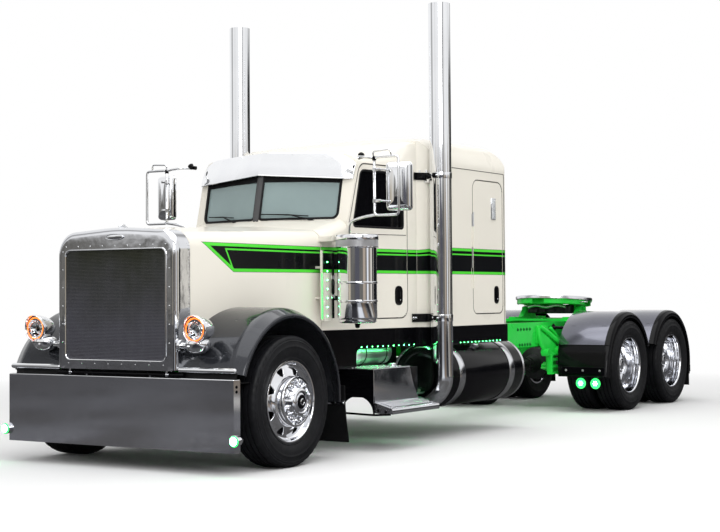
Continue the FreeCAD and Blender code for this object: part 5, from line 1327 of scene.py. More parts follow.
def air_cleaner(form):
    """Polished canister with a screened intake band, a broad lid and two straps, on its cowl bracket."""
    x, y = CLEANER.x, CLEANER.y
    body, lid = 0.169, 0.184
    form.lathe(
        (x, y, 0), Z,
        "0 1108, 120 1108, 146 1110, 157 1115, 161 1123, 161 1140, 166 1146, body 1156, body 1284, "
        "body+4.5 1285, body+5.5 1289, body+5.5 1297, body+4.5 1301, body 1302, body 1438, "
        "body+4.5 1439, body+5.5 1443, body+5.5 1452, body+4.5 1456, body 1457, body 1738, body+6 1740, "
        "lid-4 1741, lid 1745, lid 1750, lid-6 1752",
        96, body=body, lid=lid
    )
    form.lathe(
        (x, y, 0), Z,
        "lid-6 1806, lid 1808, lid+1 1812, lid+1 1844, lid-3 1850, lid-12 1852.5, lid-30 1852.5, "
        "lid-42 1850, lid-60 1851, 60 1852.5, 0 1852.5",
        96, lid=lid
    )
    form.bolt((x, y, 1.850), Z, 0.012)
    for height in (1.293, 1.447):
        angle = radians(250)
        spot = Vector((x + body * cos(angle), y + body * sin(angle), height))
        out = Vector((cos(angle), sin(angle), 0))
        form.block(spot + Vector((-0.018, -0.008, -0.011)), spot + Vector((0.018, 0.010, 0.011)), 0.003)
        form.bolt(spot + out * 0.008, Z, 0.006, False)
    form.index = 1
    form.lathe((x, y, 0), Z, "lid-7 1750, lid-7 1808", 96, lid=lid)
    for ring in range(1, 9):
        z = 1.752 + ring * 0.0062
        form.loop(circle((x, y, z), lid - 0.005, X, Y, 96), 0.0011, 5)
    for spot in circle((x, y, 0), lid - 0.0045, X, Y, 120):
        form.tube([spot + Z * 1.751, spot + Z * 1.807], 0.0011, 5, caps=False)
    form.index = 2
    form.lathe((x, y, 0), Z, "24 1104, 24 1092, 20 1088, 20 1074, 12 1066, 0 1064", 24)
    inner = side_half(1.032)
    for z in (1.300, 1.560):
        form.block((inner - 0.004, y - 0.030, z), (x - body + 0.012, y + 0.030, z + 0.040), 0.004)
        form.bolt((inner + 0.05, y - 0.030, z + 0.02), -Y, 0.008)
    post = Vector((0.946, y - 0.094, 0))
    form.tube([post + Z * 1.150, post + Z * 1.70], 0.011, 14)
    form.index = 0
    for low, high in ((1.318, 1.352), (1.478, 1.512)):
        form.lathe(post, Z, "11 low, 17 low+3, 18 high-3, 11 high", 20, low=low, high=high)
    form.index = 2
    form.lathe(post, Z, "11 1360, 14.5 1365, 14.5 1465, 11 1470", 20)
    cowl = side_half(0.96)
    form.index = 3
    rows = []
    for share in (0.0, 0.3, 0.6, 1.0):
        reach = cowl - 0.01 + (x - lid + 0.030 - cowl) * share
        wide = 0.085 + 0.055 * share * share
        edge = ((-1, 1.800), (-1, 1.838), (-0.95, 1.845), (0.95, 1.845), (1, 1.838), (1, 1.800))
        rows.append([Vector((reach, y + way * wide, z)) for way, z in edge])
    form.skin(rows, caps=True)


def lamp_panel(form):
    """Flanged panel ahead of the canister that carries its row of marker lights."""
    x = CLEANER.x - 0.228
    front, rear = behind(0.856), behind(0.996)
    low, high = 1.126, 1.726
    corners = [(front, low, 0.008), (rear, low, 0.008), (rear, high, 0.008), (front, high, 0.008)]
    face = outline(corners, 0.0, 3)
    form.slab([Vector((x, point.x, point.y)) for point in face], X * 0.006, 0.0015)
    form.block((x - 0.030, rear - 0.004, low + 0.004), (x + 0.005, rear, high - 0.004), 0.001)
    form.block((x - 0.030, front, low + 0.004), (x + 0.005, front + 0.004, high - 0.004), 0.001)
    for z in (1.310, 1.570):
        form.block(pos(side_half(0.92) - 0.004, 0.90, z), pos(x + 0.002, 0.96, z + 0.020), 0.003)
    form.index = 1
    for index in range(7):
        led(form, pos(x + 0.006, 0.905, 1.169 + 0.0758 * index), X, 0.0095)
    form.index = 3
    form.block((x - 0.014, front - 0.004, low + 0.020), (x - 0.005, front + 0.001, 1.530), 0.001)


def led(form, place, axis, radius):
    """Domed marker light. The current index is its lens; the next one is its bright core."""
    dome = ((1, 0), (0.96, 0.3), (0.62, 0.62), (0.3, 0.8), (0, 0.86))
    dome = [(radius * out, radius * up) for out, up in dome]
    form.lathe(place, axis, dome[:3], 14)
    form.index += 1
    form.lathe(place, axis, dome[2:], 14)
    form.index -= 1


def cab_front():
    shell()
    visor()
    # A gasket with a rolled outer bead and an inner lip down to the glass
    bead = moulding(
        PANE, on_screen, "-10 -15, -11 -4, -9.5 2.5, -4 5.5, 3 3.5, 6 4.5, 11 4.5, 13.5 1, 12.5 -4"
    )
    both(bead, "screen_trim", "chassis", "flap_rubber")
    # A painted shadow of the visor across the top of each pane
    both(screen_shade, "screen_shade", "chassis", "flap_rubber", "seam_rubber")
    screen_post()
    wipers()
    both(mirror, "mirror_head", "door", "polished_metal", "polished_metal black_paint mirror_glass",
         replaces="{side}_mirror")
    both(
        air_cleaner, "air_cleaner", "chassis", "polished_metal",
        "canister_metal intake_metal black_paint cream_paint", replaces="air_cleaners"
    )
    both(lamp_panel, "lamp_panel", "chassis", "cream_paint", "cream_paint green_lamp led_core glow_lamp")


# ---------------------------------------------------------------- cab doors and sleeper fittings

WINDOW = mm("55 1945 30, 792 1945 30, 792 2448 40, 170 2448 60")
DOOR = mm("0 1140 60, 842 1140 90, 842 2500 60, 160 2500 90, 0 1945 200")
SLEEPER_DOOR = mm("3245 1160 70, 3855 1160 70, 3855 2450 90, 3245 2450 90")
SLEEPER_FACE = 1.050


def on_sleeper(back, z, out=0.0):
    """A place on the sleeper's left face, or a little outside it."""
    return pos(SLEEPER_FACE + out, back, z)


def sleeper_seam(form):
    edging(form, SLEEPER_DOOR, on_sleeper, mm("6.2 -12, 6.2 0.8, 7.6 2, 9.6 1.6, 10.6 -0.4"), closed=False)
    path = [on_sleeper(2.56, 2.545), on_sleeper(3.890, 2.545)]
    form.tube([point + X * 0.0005 for point in path], 0.0030, 8)
    form.tube([on_sleeper(3.898, 2.545, 0.0005), on_sleeper(3.898, 1.050, 0.0005)], 0.0030, 8)


def door_belt(form):
    """Thin dark line in the door at the foot of the window: painted shade along the belt crease."""
    form.tube([on_door(0.035, 1.8795, 0.0002), on_door(0.832, 1.8865, 0.0002)], 0.0028, 8)


def paddle_latch(place, centre_at, width, height):
    """A maker of an oval recess with a rolled rim and a lever standing in it."""
    def make(form):
        u, v = centre_at
        corners = oblong(u, v, width, height, width * 0.42)
        edging(form, corners, place, mm("5 0, 5 3.5, 1 6.5, -6 6, -11 3, -13 1"), closed=False)
        form.skin([[place(*point, 0.0012) for point in outline(corners, 0.001, 6)], [place(u, v, 0.0016)]])
        lever = oblong(u + width * 0.14, v, width * 0.24, height * 0.68, 0.008)
        edging(form, lever, place, mm("0 -4, 0 6, -3 8.5"), closed=False)
        form.skin(
            [
                [place(*point, 0.0085) for point in outline(lever, -0.003, 6)],
                [place(u + width * 0.14, v, 0.0095)]
            ]
        )
        form.index = 1
        form.lathe(
            place(u + width * 0.14, v - height * 0.24, 0.0085), (place(u, v, 1) - place(u, v, 0)),
            "5.5 0, 4.5 2, 0 2.6", 14
        )
        form.index = 0
    return make


def sleeper_lens(form):
    """Tall courtesy lamp: bright frame round a frosted, ribbed lens."""
    corners = mm("3612 2078 16, 3704 2078 16, 3704 2296 16, 3612 2296 16")
    edging(form, corners, on_sleeper, mm("0 0, 0 8, -2 11, -7 12, -9 10"), closed=False)
    form.index = 1
    rows = [[on_sleeper(*point, 0.010) for point in outline(corners, -0.009, 6)]]
    rows.append([on_sleeper(*point, 0.018) for point in outline(corners, -0.017, 6)])
    rows.append([on_sleeper(*point, 0.021) for point in outline(corners, -0.028, 6)])
    rows.append([on_sleeper(3.658, 2.187, 0.0225)])
    form.skin(rows)


def piano_hinge(form):
    """Bright knuckled hinge along the front edge of the sleeper door."""
    x, y = 1.0565, behind(3.242)
    z = 1.452
    while z < 2.115:
        form.lathe((x, y, z), Z, "5.2 0, 6.2 1.2, 6.2 31.5, 5.2 33", 12)
        z += 0.0345
    form.block((1.0502, y - 0.026, 1.452), (1.0525, y - 0.004, 2.122), 0.001)
    for index in range(12):
        form.rivet((1.0525, y - 0.018, 1.480 + 0.056 * index), X, 0.0034, 8)


def side_trim():
    # Dark weatherstrip round the doorway, on the cab's side of the gap, and black rubber round the window
    strip = moulding(DOOR, on_door, "6.2 -12, 6.2 0.8, 7.6 2, 10 1.6, 11.2 -0.4")
    rubber = moulding(WINDOW, on_door, "-12 -26, -12 -4, -9 1.5, -3 3.2, 5 2.8, 8.5 1, 9 -2")
    both(strip, "door_weatherstrip", "chassis", "flap_rubber", "seam_rubber")
    both(sleeper_seam, "sleeper_weatherstrip", "chassis", "flap_rubber", "seam_rubber")
    both(rubber, "window_rubber", "door", "flap_rubber")
    both(door_belt, "door_belt", "door", "cream_paint", "seam_rubber")
    both(
        paddle_latch(on_door, (0.7140, 1.337), 0.104, 0.166), "door_handle", "door", "black_paint",
        "black_paint polished_metal"
    )
    both(
        paddle_latch(on_sleeper, (3.722, 1.337), 0.086, 0.166), "sleeper_handle", "sleeper_door",
        "black_paint", "black_paint polished_metal"
    )
    both(sleeper_lens, "sleeper_lamp", "sleeper_door", "polished_metal", "polished_metal frosted_lens")
    both(cab_joint, "cab_joint", "chassis", "cream_paint")
    both(piano_hinge, "piano_hinge", "chassis", "polished_metal", "intake_metal")


def cab_joint(form):
    """Painted filler strip over the joint between the cab and the sleeper."""
    rows = []
    for z in (1.048, 1.30, 1.60, 1.90, 2.20, 2.50, 2.640):
        rows.append([on_side(back, z, out) for back, out in mm("2286 -1.5, 2322 1.4, 2350 1.4, 2358 -2")])
    form.skin(rows, ring=False)


def roof_fairing():
    """Painted skin that carries the crowned cab roof up into the front of the sleeper."""
    form = Form()

    def section(half, top, drop, radius, low):
        corners = [
            (-half, low, 0), (half, low, 0), (half, top - drop, radius), (0, top, 3.0),
            (-half, top - drop, radius)
        ]
        return polar(outline(corners, 0.0, 10), (0.0, top - 0.55), 160)

    start, end = 1.92, 2.352
    rows = []
    for step in range(19):
        share = step / 18
        back = start + (end - start) * share
        ease = share * share * (3 - 2 * share)
        lift = 0.0022 - 0.004 * (step == 0)
        roof = 2.620 + (back - 1.120) * 0.115 + lift
        first = section(side_half(back) + lift, roof, 0.080, 0.13, 1.6)
        last = section(0.9452, 2.7625, 0.004, 0.050, 1.6)
        row = []
        for a, b in zip(first, last):
            point = a.lerp(
                Vector((min(max(b.x, -side_half(back) - lift), side_half(back) + lift), b.y)), ease
            )
            if point.y > 2.36:
                row.append(pos(point.x, back, point.y))
        rows.append(row)
    count = min(len(row) for row in rows)
    trimmed = []
    for row in rows:
        row.sort(key=lambda p: atan2(p.z - 2.15, p.x))
        spare = len(row) - count
        trimmed.append(row[spare // 2: len(row) - (spare - spare // 2)])
    form.skin(trimmed, ring=False)
    form.done("roof_fairing", "chassis", "cream_paint", sharp=50)


# ---------------------------------------------------------------- stack brackets and marker lights

def stack_brackets(form):
    """Black clamps with their bolts and bands, from the cab side to the stack."""
    x, y, radius = 1.151, behind(2.435), 0.1016
    for low, high in ((1.092, 1.168), (2.402, 2.470)):
        if low < 2:
            path = [on_side(2.262, 0)] + places("938.5 2330 0, 1035 2462 0, 1060 2500 0")
        else:
            path = places("940 2300 0, 940.5 2345 0, 1035 2462 0, 1056 2490 0")
        outer = [point + Vector((0.014, -0.004, low)) for point in path]
        inner = [point + Vector((0.001, 0.004, low)) for point in path]
        form.slab(outer + inner[::-1], Z * (high - low))
        form.block(
            (x - radius - 0.06, y - 0.030, low + 0.008), (x - radius + 0.006, y + 0.030, high - 0.008), 0.006
        )
        form.index = 1
        form.lathe(
            (x, y, 0), Z,
            "radius low+6, radius+4 low+7, radius+4.6 low+12, radius+4.6 high-12, radius+4 high-7, "
            "radius high-6",
            64, radius=radius, low=low, high=high
        )
        form.index = 0
        middle = (low + high) / 2
        form.block(
            (x - 0.020, y - radius - 0.024, middle - 0.022), (x + 0.020, y - radius + 0.002, middle + 0.022),
            0.005
        )
        form.index = 1
        for dx in (-0.0255, 0.0185):
            form.bolt((x + dx, y - radius - 0.014, middle), X if dx > 0 else -X, 0.0075)
        if low < 2:
            for back in (2.275, 2.312):
                form.bolt(on_side(back, middle, 0.012), OUTWARD, 0.011)
            form.bolt((1.020, behind(2.437) - 0.004, middle), Vector((0.8, -0.6, 0)), 0.011)
        else:
            for spot in places("965 2372 high, 1006 2425 high", high=high):
                form.lathe(spot, Z, "13 0, 13 6, 9 10, 9 22, 6 26, 0 27", 14)
        form.index = 0


def marker_rows(form):
    """The rows of small green lamps along the skirts, on the sleeper's edge and inside the skirt."""
    for index in range(11):
        back = 1.520 + 0.0775 * index
        led(form, on_side(back, 0.886, -0.002), OUTWARD, 0.0062)
    for index in range(12):
        led(form, pos(1.048, 2.973 + 0.0745 * index, 0.886), X, 0.0062)
    for index in range(12):
        led(form, pos(1.0505, 2.536, 1.180 + 0.059 * index), X, 0.0055)


def glow_strip(form):
    """Lit strip under the cab skirt, over the air tank."""
    form.tube([on_side(1.46, 0.884, -0.034), on_side(2.26, 0.884, -0.034)], 0.0045, 8)
    form.tube(places("700 2300 975, 880 2520 930"), 0.0045, 8)


# ---------------------------------------------------------------- skirts, steps and tanks

def skirt(form):
    """Dark skirt in three runs: by the cab, with its drop at the front, on the flare and by the sleeper."""
    low, high = 0.872, 1.0455
    inward = -0.002
    cab = mm("978 high 0, 978 700 20, 1452 700 30, 1452 low 55, 2338 low 0, 2338 high 0", high=high, low=low)
    loop = outline(cab, 0.0, 6)
    form.slab([on_side(point.x, point.y, inward - 0.020) for point in loop], OUTWARD * 0.020, 0.0)
    rail_path = [on_side(2.334, 0, inward), pos(1.048, 2.500, 0), pos(1.048, 3.965, 0)]
    for start, end in zip(rail_path, rail_path[1:]):
        along = (end - start).normalized()
        inside = Vector((-along.y, along.x, 0)) * 0.020
        quad = [start, end, end + inside, start + inside]
        form.slab([point + Z * low for point in quad], Z * (high - low))
    form.tube(places("1047.5 2505 low+2, 1047.5 3962 low+2", low=low), 0.0035, 8)
    form.tube(
        [
            on_side(1.53, low + 0.002, inward), on_side(2.334, low + 0.002, inward),
            pos(1.0475, 2.505, low + 0.002)
        ], 0.0035, 8
    )
    # Black sheets inside the skirts: painted shade in the hollow behind them.
    form.index = 1
    form.skin([
        [pos(0.500, back, z) for back in (0.80, 1.30, 2.05, 2.70)] for z in (0.48, 0.75, 1.040)
    ], ring=False)
    form.skin([[pos(x, 0.985, z) for x in (0.50, 0.70, 0.795)] for z in (0.70, 1.040)], ring=False)
    form.skin([[pos(x, 2.345, z) for x in (0.56, 0.75, 0.925)] for z in (0.90, 1.040)], ring=False)


def air_tank(form):
    """Polished cylinder on its two saddles under the cab, with a drain and a fitting."""
    place = pos(0.640, 1.640, 0.822)
    r = 0.112
    form.lathe(
        place, Y,
        "0 -30, 45 -28, 80 -19, 100 -4, r 14, r 52, r+3 53, r+3 64, r 65, r 490, r+3 491, r+3 502, "
        "r 503, r 560, 100 584, 80 600, 45 609, 0 611",
        64, r=r
    )
    form.lathe(place, -Y, "14 20, 14 40, 10 44, 0 44", 16)
    form.lathe(place + Vector((0.03, 0.30, 0.104)), Z, "22 0, 22 12, 14 16, 14 28, 0 30", 20)
    form.index = 1
    for shift in (0.125, 0.475):
        form.block((0.430, place.y + shift - 0.025, 0.804), (0.548, place.y + shift + 0.025, 0.840), 0.004)
        form.loop(circle(place + Y * shift, r * 1.025, X, Z), 0.004, 8)


BOX_FRONT, BOX_REAR = behind(1.328), behind(2.092)
BOX_OUT = 1.100
STEP_NOSE = 1.252


def step_box(form):
    """Tool box: dark body whose black front face is painted shade and reflection, polished side cut to the tank's
    curve, folded tread on top.
    """
    form.index = 1
    # The body's black is painted shade and reflection on the box's front face.
    form.block((0.662, BOX_FRONT + 0.004, 0.464), (BOX_OUT - 0.006, BOX_REAR - 0.004, 0.702), 0.006, 3)
    face = mm("1322 406 0, 2100 406 0, 2046 478 0, 1985 560 0, 1948 640 0, 1936 706 0, 1322 706 0")
    form.slab([pos(BOX_OUT - 0.006, p.x, p.y) for p in outline(face, 0, 1)], X * 0.006)
    form.index = 0
    form.slab(
        [
            pos(BOX_OUT - 0.003, p.x, p.y)
            for p in outline(mm("1324 408 10, 2096 408 8, 1990 552 350, 1938 704 8, 1324 704 10"), 0, 5)
        ], X * 0.005, 0.0015
    )
    top = 0.7055
    tread = places("680 1328 top, out-2 1328 top, out-2 1940 top, 680 2060 top", out=BOX_OUT, top=top)
    form.slab(tread, Z * 0.004, 0.001)
    edge = places("out-4 1329 top-1, out-4 1938 top-1", out=BOX_OUT, top=top)
    form.tube(edge, 0.0058, 12)
    form.tube([(0.684, BOX_FRONT + 0.003, top), (BOX_OUT - 0.004, BOX_FRONT + 0.003, top)], 0.0050, 12)
    for row in range(4):
        for index in range(11):
            spot = pos(0.76 + 0.085 * row, 1.385 + 0.052 * index, top + 0.004)
            form.lathe(spot, Z, "13 0, 11.5 2.2, 8.5 2.6, 7.5 0.4, 7.4 -2", 16)
    form.lathe(pos(0.965, 1.865, top + 0.003), Z, "34 0, 36 4, 36 18, 30 26, 12 30, 0 30", 28)
    form.index = 1
    for low, high in ((0.46, 0.53), (0.60, 0.665)):
        form.block((0.72, BOX_FRONT - 0.001, low), (1.06, BOX_FRONT + 0.005, high), 0.003)
    form.bolt((1.066, BOX_FRONT + 0.002, 0.565), -Y, 0.007)
    for back in (1.530, 1.910):
        form.block((0.433, behind(back) - 0.04, 0.43), (0.664, behind(back) + 0.04, 0.49), 0.004)
        form.block((0.433, behind(back) - 0.04, 0.43), (0.447, behind(back) + 0.04, 0.85), 0.003)


def lower_step(form):
    """Folded tread below the box that leans outwards, with rolled nose, raised treads and end brackets."""
    front, rear = behind(1.338), behind(2.150)
    outer = STEP_NOSE

    def skew(x):
        return (x - BOX_OUT) / (outer - BOX_OUT) * 0.050

    section = mm(
        "out-12 424, out+6 416.5, out+20 413, outer-30 376, outer-14 370.5, outer-4 362, outer 350, "
        "outer 324, outer-3 319, outer-8 318, outer-8 322, outer-5 325, outer-5 349, outer-16 364.5, "
        "outer-32 370.5, out+18 407.5, out-12 418",
        out=BOX_OUT, outer=outer
    )
    rows = [
        [Vector((x, y + skew(x), z)) for x, z in section] for y in (front, front + 0.01, rear - 0.01, rear)
    ]
    form.skin(rows, caps=True)
    slope = Vector((outer - 0.030 - BOX_OUT - 0.020, 0, 0.3760 - 0.4130))
    for index in range(5):
        share = 0.12 + 0.19 * index
        start = Vector((BOX_OUT + 0.020, front + 0.05, 0.4138)) + slope * share
        end = Vector((BOX_OUT + 0.020, rear - 0.05, 0.4138)) + slope * share
        shift = Y * skew(start.x)
        form.tube(
            [
                start + shift, start.lerp(end, 0.02) + shift + Z * 0.0012,
                start.lerp(end, 0.98) + shift + Z * 0.0012, end + shift
            ], [0.003, 0.0055, 0.0055, 0.003], 10
        )
    for y in (front + 0.002, rear - 0.008):
        plate = mm(
            "out-4 412, out+20 407.5, outer-32 370, outer-10 360, outer-8 322, outer-60 316, out-4 330",
            out=BOX_OUT, outer=outer
        )
        form.slab([Vector((x, y + skew(x), z)) for x, z in plate], Y * 0.006)
    form.index = 1
    for x, z in ((outer - 0.060, 0.340), (BOX_OUT + 0.030, 0.352)):
        form.bolt((x, front + 0.0015 + skew(x), z), -Y, 0.0085)
    arch = [
        (0.930 - 0.158 * cos(angle), 0.328 + 0.140 * sin(angle))
        for angle in (pi * step / 16 for step in range(17))
    ]
    panel = [
        (0.662, 0.320), (0.770, 0.322), *arch, (1.088, 0.322), (BOX_OUT + 0.004, 0.316),
        (BOX_OUT + 0.004, 0.470), (0.662, 0.470)
    ]
    form.skin([[Vector((x, BOX_FRONT + y, z)) for x, z in panel] for y in (0.003, 0.009)], caps=True)
    form.tube(
        rounded(
            mm(
                "662 box+6 330, 790 box+6 321.5, 1100 box+6 312, outer-12 box+45 320", box=BOX_FRONT,
                outer=outer
            ), 0.05
        ), 0.0095, 10
    )
    for back in (1.52, 1.98):
        form.block(pos(0.990, back, 0.384), (1.103, behind(back) + 0.030, 0.414), 0.003)
        form.tube(
            [
                (1.06, behind(back) + 0.015, 0.400), (1.13, behind(back) + 0.015, 0.372),
                (outer - 0.02, behind(back) + 0.030, 0.345)
            ], 0.009, 10
        )


TANK = Vector((0.830, 0, 0.585))


def fuel_tank(form):
    """Painted tank with polished end rims and straps, a filler cap and its cradles."""
    radius = 0.305
    front, rear = behind(2.600), behind(4.170)
    place = Vector((TANK.x, front, TANK.z))
    length = rear - front
    form.lathe(place, Y, "r-1 40, r 44, r end-44, r-1 end-40", 128, r=radius, end=length)
    form.index = 1
    for start, way in ((0.0, 1), (length, -1)):
        rim = mm(
            "0 34, 90 32, 150 26, 196 16, 204 18, 210 16, 236 8, 262 4, 274 10, 284 10.5, 292 4, 300 0, "
            "305.2 3, 306.6 8, 306.6 16, 305.2 22, 305.2 40, 303.5 44"
        )
        form.lathe(place + Y * start, Y, [(r, way * h) for r, h in rim], 128)
    for back in (2.858, 3.882):
        y = behind(back) - front
        wide = 0.0545
        strap = "r low, r+3.5 low+1, r+4.5 low+4, r+4.5 high-4, r+3.5 high-1, r high"
        form.lathe(place, Y, strap, 128, r=radius, low=y - wide, high=y + wide)
        form.index = 2
        for way in (1, -1):
            seam = mm("r 0, r+2.5 1, r+2.5 4, r 5", r=radius)
            form.lathe(place, Y, [(r, y + way * (wide + out)) for r, out in seam], 128)
        form.index = 1
        a = radians(118)
        spot = pos(TANK.x + (radius + 0.014) * cos(a), back, TANK.z + (radius + 0.014) * sin(a))
        form.block(spot + Vector((-0.016, -0.030, -0.014)), spot + Vector((0.016, 0.030, 0.014)), 0.004)
        form.tube([spot + Vector((-0.05, 0, -0.012)), spot + Vector((0.04, 0, 0.010))], 0.007, 10)
    tilt = Vector((0.52, 0, 0.854))
    base = TANK + pos(0, 3.30, 0) + tilt * (radius - 0.004)
    form.lathe(base, tilt, "52 0, 52 14, 46 18, 62 20, 64 26, 64 46, 58 54, 20 58, 0 58", 40)
    for spot in circle(base + tilt * 0.028, 0.0640, *frame_of(tilt), 16):
        form.tube([spot, spot + tilt * 0.016], 0.0035, 6)
    form.index = 2
    rail_low = 0.750
    for back in (2.940, 3.980):
        z = TANK.z
        corners = [
            (RAIL_SIDE, rail_low + 0.010), (RAIL_SIDE, rail_low - 0.300), (TANK.x - 0.190, z - 0.262),
            (TANK.x - 0.150, z - 0.262), (TANK.x - radius + 0.060, z - 0.17), (TANK.x - radius - 0.006, z),
            (0.492, rail_low + 0.090), (RAIL_SIDE, rail_low + 0.090)
        ]
        form.slab([Vector((x, behind(back) - 0.040, height)) for x, height in corners], Y * 0.080)


def mud_flap(form):
    """Rubber sheet that curves back at its foot, on three bolts under a stiffener."""
    def at(x, z, out=0.0):
        share = max(0.0, (0.60 - z) / 0.47)
        return Vector((x, behind(0.742) + 0.062 * share**2.2 + out, z))

    xs = [0.720, 0.724, 0.85, 1.0, 1.178, 1.182]
    zs = [0.130, 0.134, 0.18, 0.24, 0.30, 0.36, 0.42, 0.48, 0.54, 0.60]
    rows = []
    for z in zs:
        narrow = 0.0 if z > 0.14 else 0.004
        front = [at(min(max(x, 0.720 + narrow), 1.182 - narrow), z, 0.0) for x in xs]
        rear = [at(min(max(x, 0.720 + narrow), 1.182 - narrow), z, 0.010) for x in reversed(xs)]
        rows.append(front + rear)
    form.skin(rows, caps=True)
    form.index = 1
    form.block((0.725, behind(0.742) - 0.004, 0.440), (1.180, behind(0.742) + 0.005, 0.476), 0.003)
    for x in (1.005, 1.089, 1.172):
        form.bolt(at(min(x, 1.166), 0.4575, -0.003), -Y, 0.0085)
    form.index = 2
    form.tube(places("436 772 430, 1165 772 430"), 0.012, 14)
    form.block(pos(RAIL_SIDE, 0.752, 0.410), pos(0.444, 0.802, 0.850), 0.003)


def lower_body():
    both(stack_brackets, "stack_bracket", "chassis", "black_paint", "black_paint polished_metal")
    both(marker_rows, "marker_lamps", "chassis", "window_glass", "green_lamp led_core")
    both(glow_strip, "glow_strip", "chassis", "window_glass", "led_core")
    both(skirt, "skirt", "chassis", "black_paint", "black_paint seam_rubber", replaces="cab_skirts")
    both(air_tank, "air_tank", "chassis", "polished_metal", "tank_metal black_paint")
    both(step_box, "step_box", "chassis", "polished_metal", "strap_metal black_paint", replaces="step_boxes")
    both(lower_step, "lower_step", "chassis", "polished_metal", "strap_metal black_paint")
    both(fuel_tank, "fuel_tank", "chassis", "black_paint", "black_paint strap_metal cast_metal",
         replaces="fuel_tanks")
    both(mud_flap, "front_mud_flap", "chassis", "flap_rubber", "flap_rubber polished_metal black_paint",
         replaces="front_mud_flaps")


# ---------------------------------------------------------------- rear fenders, rails and fifth wheel

FENDERS = ((behind(6.734), 22, 156), (behind(8.055), -16, 158))
FENDER_HUB, FENDER_REACH, FENDER_BAR_REACH = 0.504, 0.632, 0.602
FENDER_IN, FENDER_OUT = 0.580, 1.222


def fender_section():
    """A drive fender's crown, its rolled side and its underside, as (X, how far outside the crown line)."""
    crown = mm("inner -14, inner -2, inner+3 0, 900 0, 1144 0", inner=FENDER_IN)
    side = mm(
        "1144 0, 1170 -1.5, 1192 -6, 1208 -15, 1217.5 -28, outer -45, outer -70, 1219.5 -75, 1215 -76, "
        "1211.5 -72, 1212 -46, 1200 -22, 1170 -8, 1144 -6", outer=FENDER_OUT
    )
    under = mm("1144 -6, 900 -6, inner+5 -6, inner+5 -14, inner -14", inner=FENDER_IN)
    return crown, side, under


def drive_fender(form):
    """Two arched fenders with rolled sides, the first with a black front panel, on bars from the rail."""
    crown, side, under = fender_section()
    for y, start, end in FENDERS:
        steps = 48
        places = []
        for step in range(steps + 1):
            a = radians(start + (end - start) * step / steps)
            places.append((Vector((0, y, FENDER_HUB)) + round_x(a, FENDER_REACH), round_x(a)))
        for index, line in ((0, crown), (1, side), (2, under)):
            form.index = index
            form.skin([[place + out * rise + X * x for x, rise in line] for place, out in places], ring=False)
        for place, out in (places[0], places[-1]):
            form.index = 1
            rim = [place + out * (rise * 0.98 - 0.0002) + X * x for x, rise in crown[1:] + side[1:]]
            form.tube(rim, 0.0042, 8)
        form.index = 3
        for a in (48, 132):
            spot = Vector((0, y, FENDER_HUB)) + round_x(radians(a), FENDER_BAR_REACH)
            form.tube([spot + X * 0.434, spot + X * 1.190], 0.018, 16)
            form.lathe(spot + X * 0.433, X, "45 0, 45 8, 36 12, 24 14, 18 30", 24)
            for bolt in circle(spot + X * 0.441, 0.034, Y, Z, 4, pi / 4):
                form.bolt(bolt, X, 0.0055, False)
            for x in (0.70, 1.08):
                form.block(
                    spot + Vector((x - 0.03, -0.022, -0.022)), spot + Vector((x + 0.03, 0.022, 0.024)), 0.004
                )
    y, _, end = FENDERS[0]
    top = Vector((0, y, FENDER_HUB)) + round_x(radians(end), FENDER_REACH)
    foot = pos(0, 6.055, 0.410)
    normal = Vector((0, -(top.z - foot.z), (top.y - foot.y))).normalized()
    form.index = 1
    rows = []
    for step in range(9):
        share = step / 8
        place = top.lerp(foot, share) + normal * 0.018 * sin(pi * share)
        least = FENDER_IN + 0.040 * share
        rows.append([place + normal * rise + X * max(x, least) for x, rise in crown[1:] + side[1:]])
    form.skin(rows, ring=False)
    form.tube([foot + normal * 0.002 + X * x for x in (FENDER_IN + 0.044, 1.19)], 0.005, 10)
    form.tube([top + normal * 0.002 + X * x for x in (FENDER_IN + 0.004, 1.19)], 0.0028, 8)
    strip = [
        foot + X * x + Z * z - Y * out for x, z, out in mm("672 32 14, 1176 32 14, 1176 108 22, 672 108 22")
    ]
    form.slab(strip, Vector((0, -0.005, 0)), 0.001, 1)
    form.index = 4
    for x in (0.727, 0.931, 1.136):
        form.bolt(foot + X * x + Vector((0, -0.022, 0.070)), -Y, 0.0095)
    form.index = 2
    second, low, _ = FENDERS[1]
    flap = Vector((0, second, FENDER_HUB)) + round_x(radians(low), FENDER_REACH - 0.010)
    sheet = [flap + Vector(corner) for corner in mm("640 0 50, 1200 0 50, 1200 4 -145, 640 4 -145")]
    form.slab(sheet, Y * 0.008, 0.002, 1)
    form.index = 3
    form.block(flap + Vector((1.10, 0.008, 0.02)), flap + Vector((1.205, 0.050, 0.110)), 0.006)


def fender_lamps(form):
    """Two round green lamps under the first fender's front panel."""
    for x in (0.877, 1.054):
        place = pos(x, 6.110, 0.332)
        form.index = 2
        form.lathe(place, -Y, "0 -30, 40 -30, 56 -22, 62 -10, 64 4, 64 9, 60 11", 32)
        form.block(place + Vector((-0.016, 0.000, 0.040)), place + Vector((0.016, 0.012, 0.100)), 0.003)
        form.index = 0
        form.lathe(place, -Y, "60 9, 56 14, 44 19", 32)
        form.index = 1
        for ring, reach in ((1, 0.0), (6, 0.022)):
            for spot in circle(place, reach, X, Z, ring):
                form.lathe(spot, -Y, "7.5 18.5, 5 22.2, 0 23", 12)
        form.index = 0
        form.lathe(place, -Y, "44 19, 0 19.5", 32)


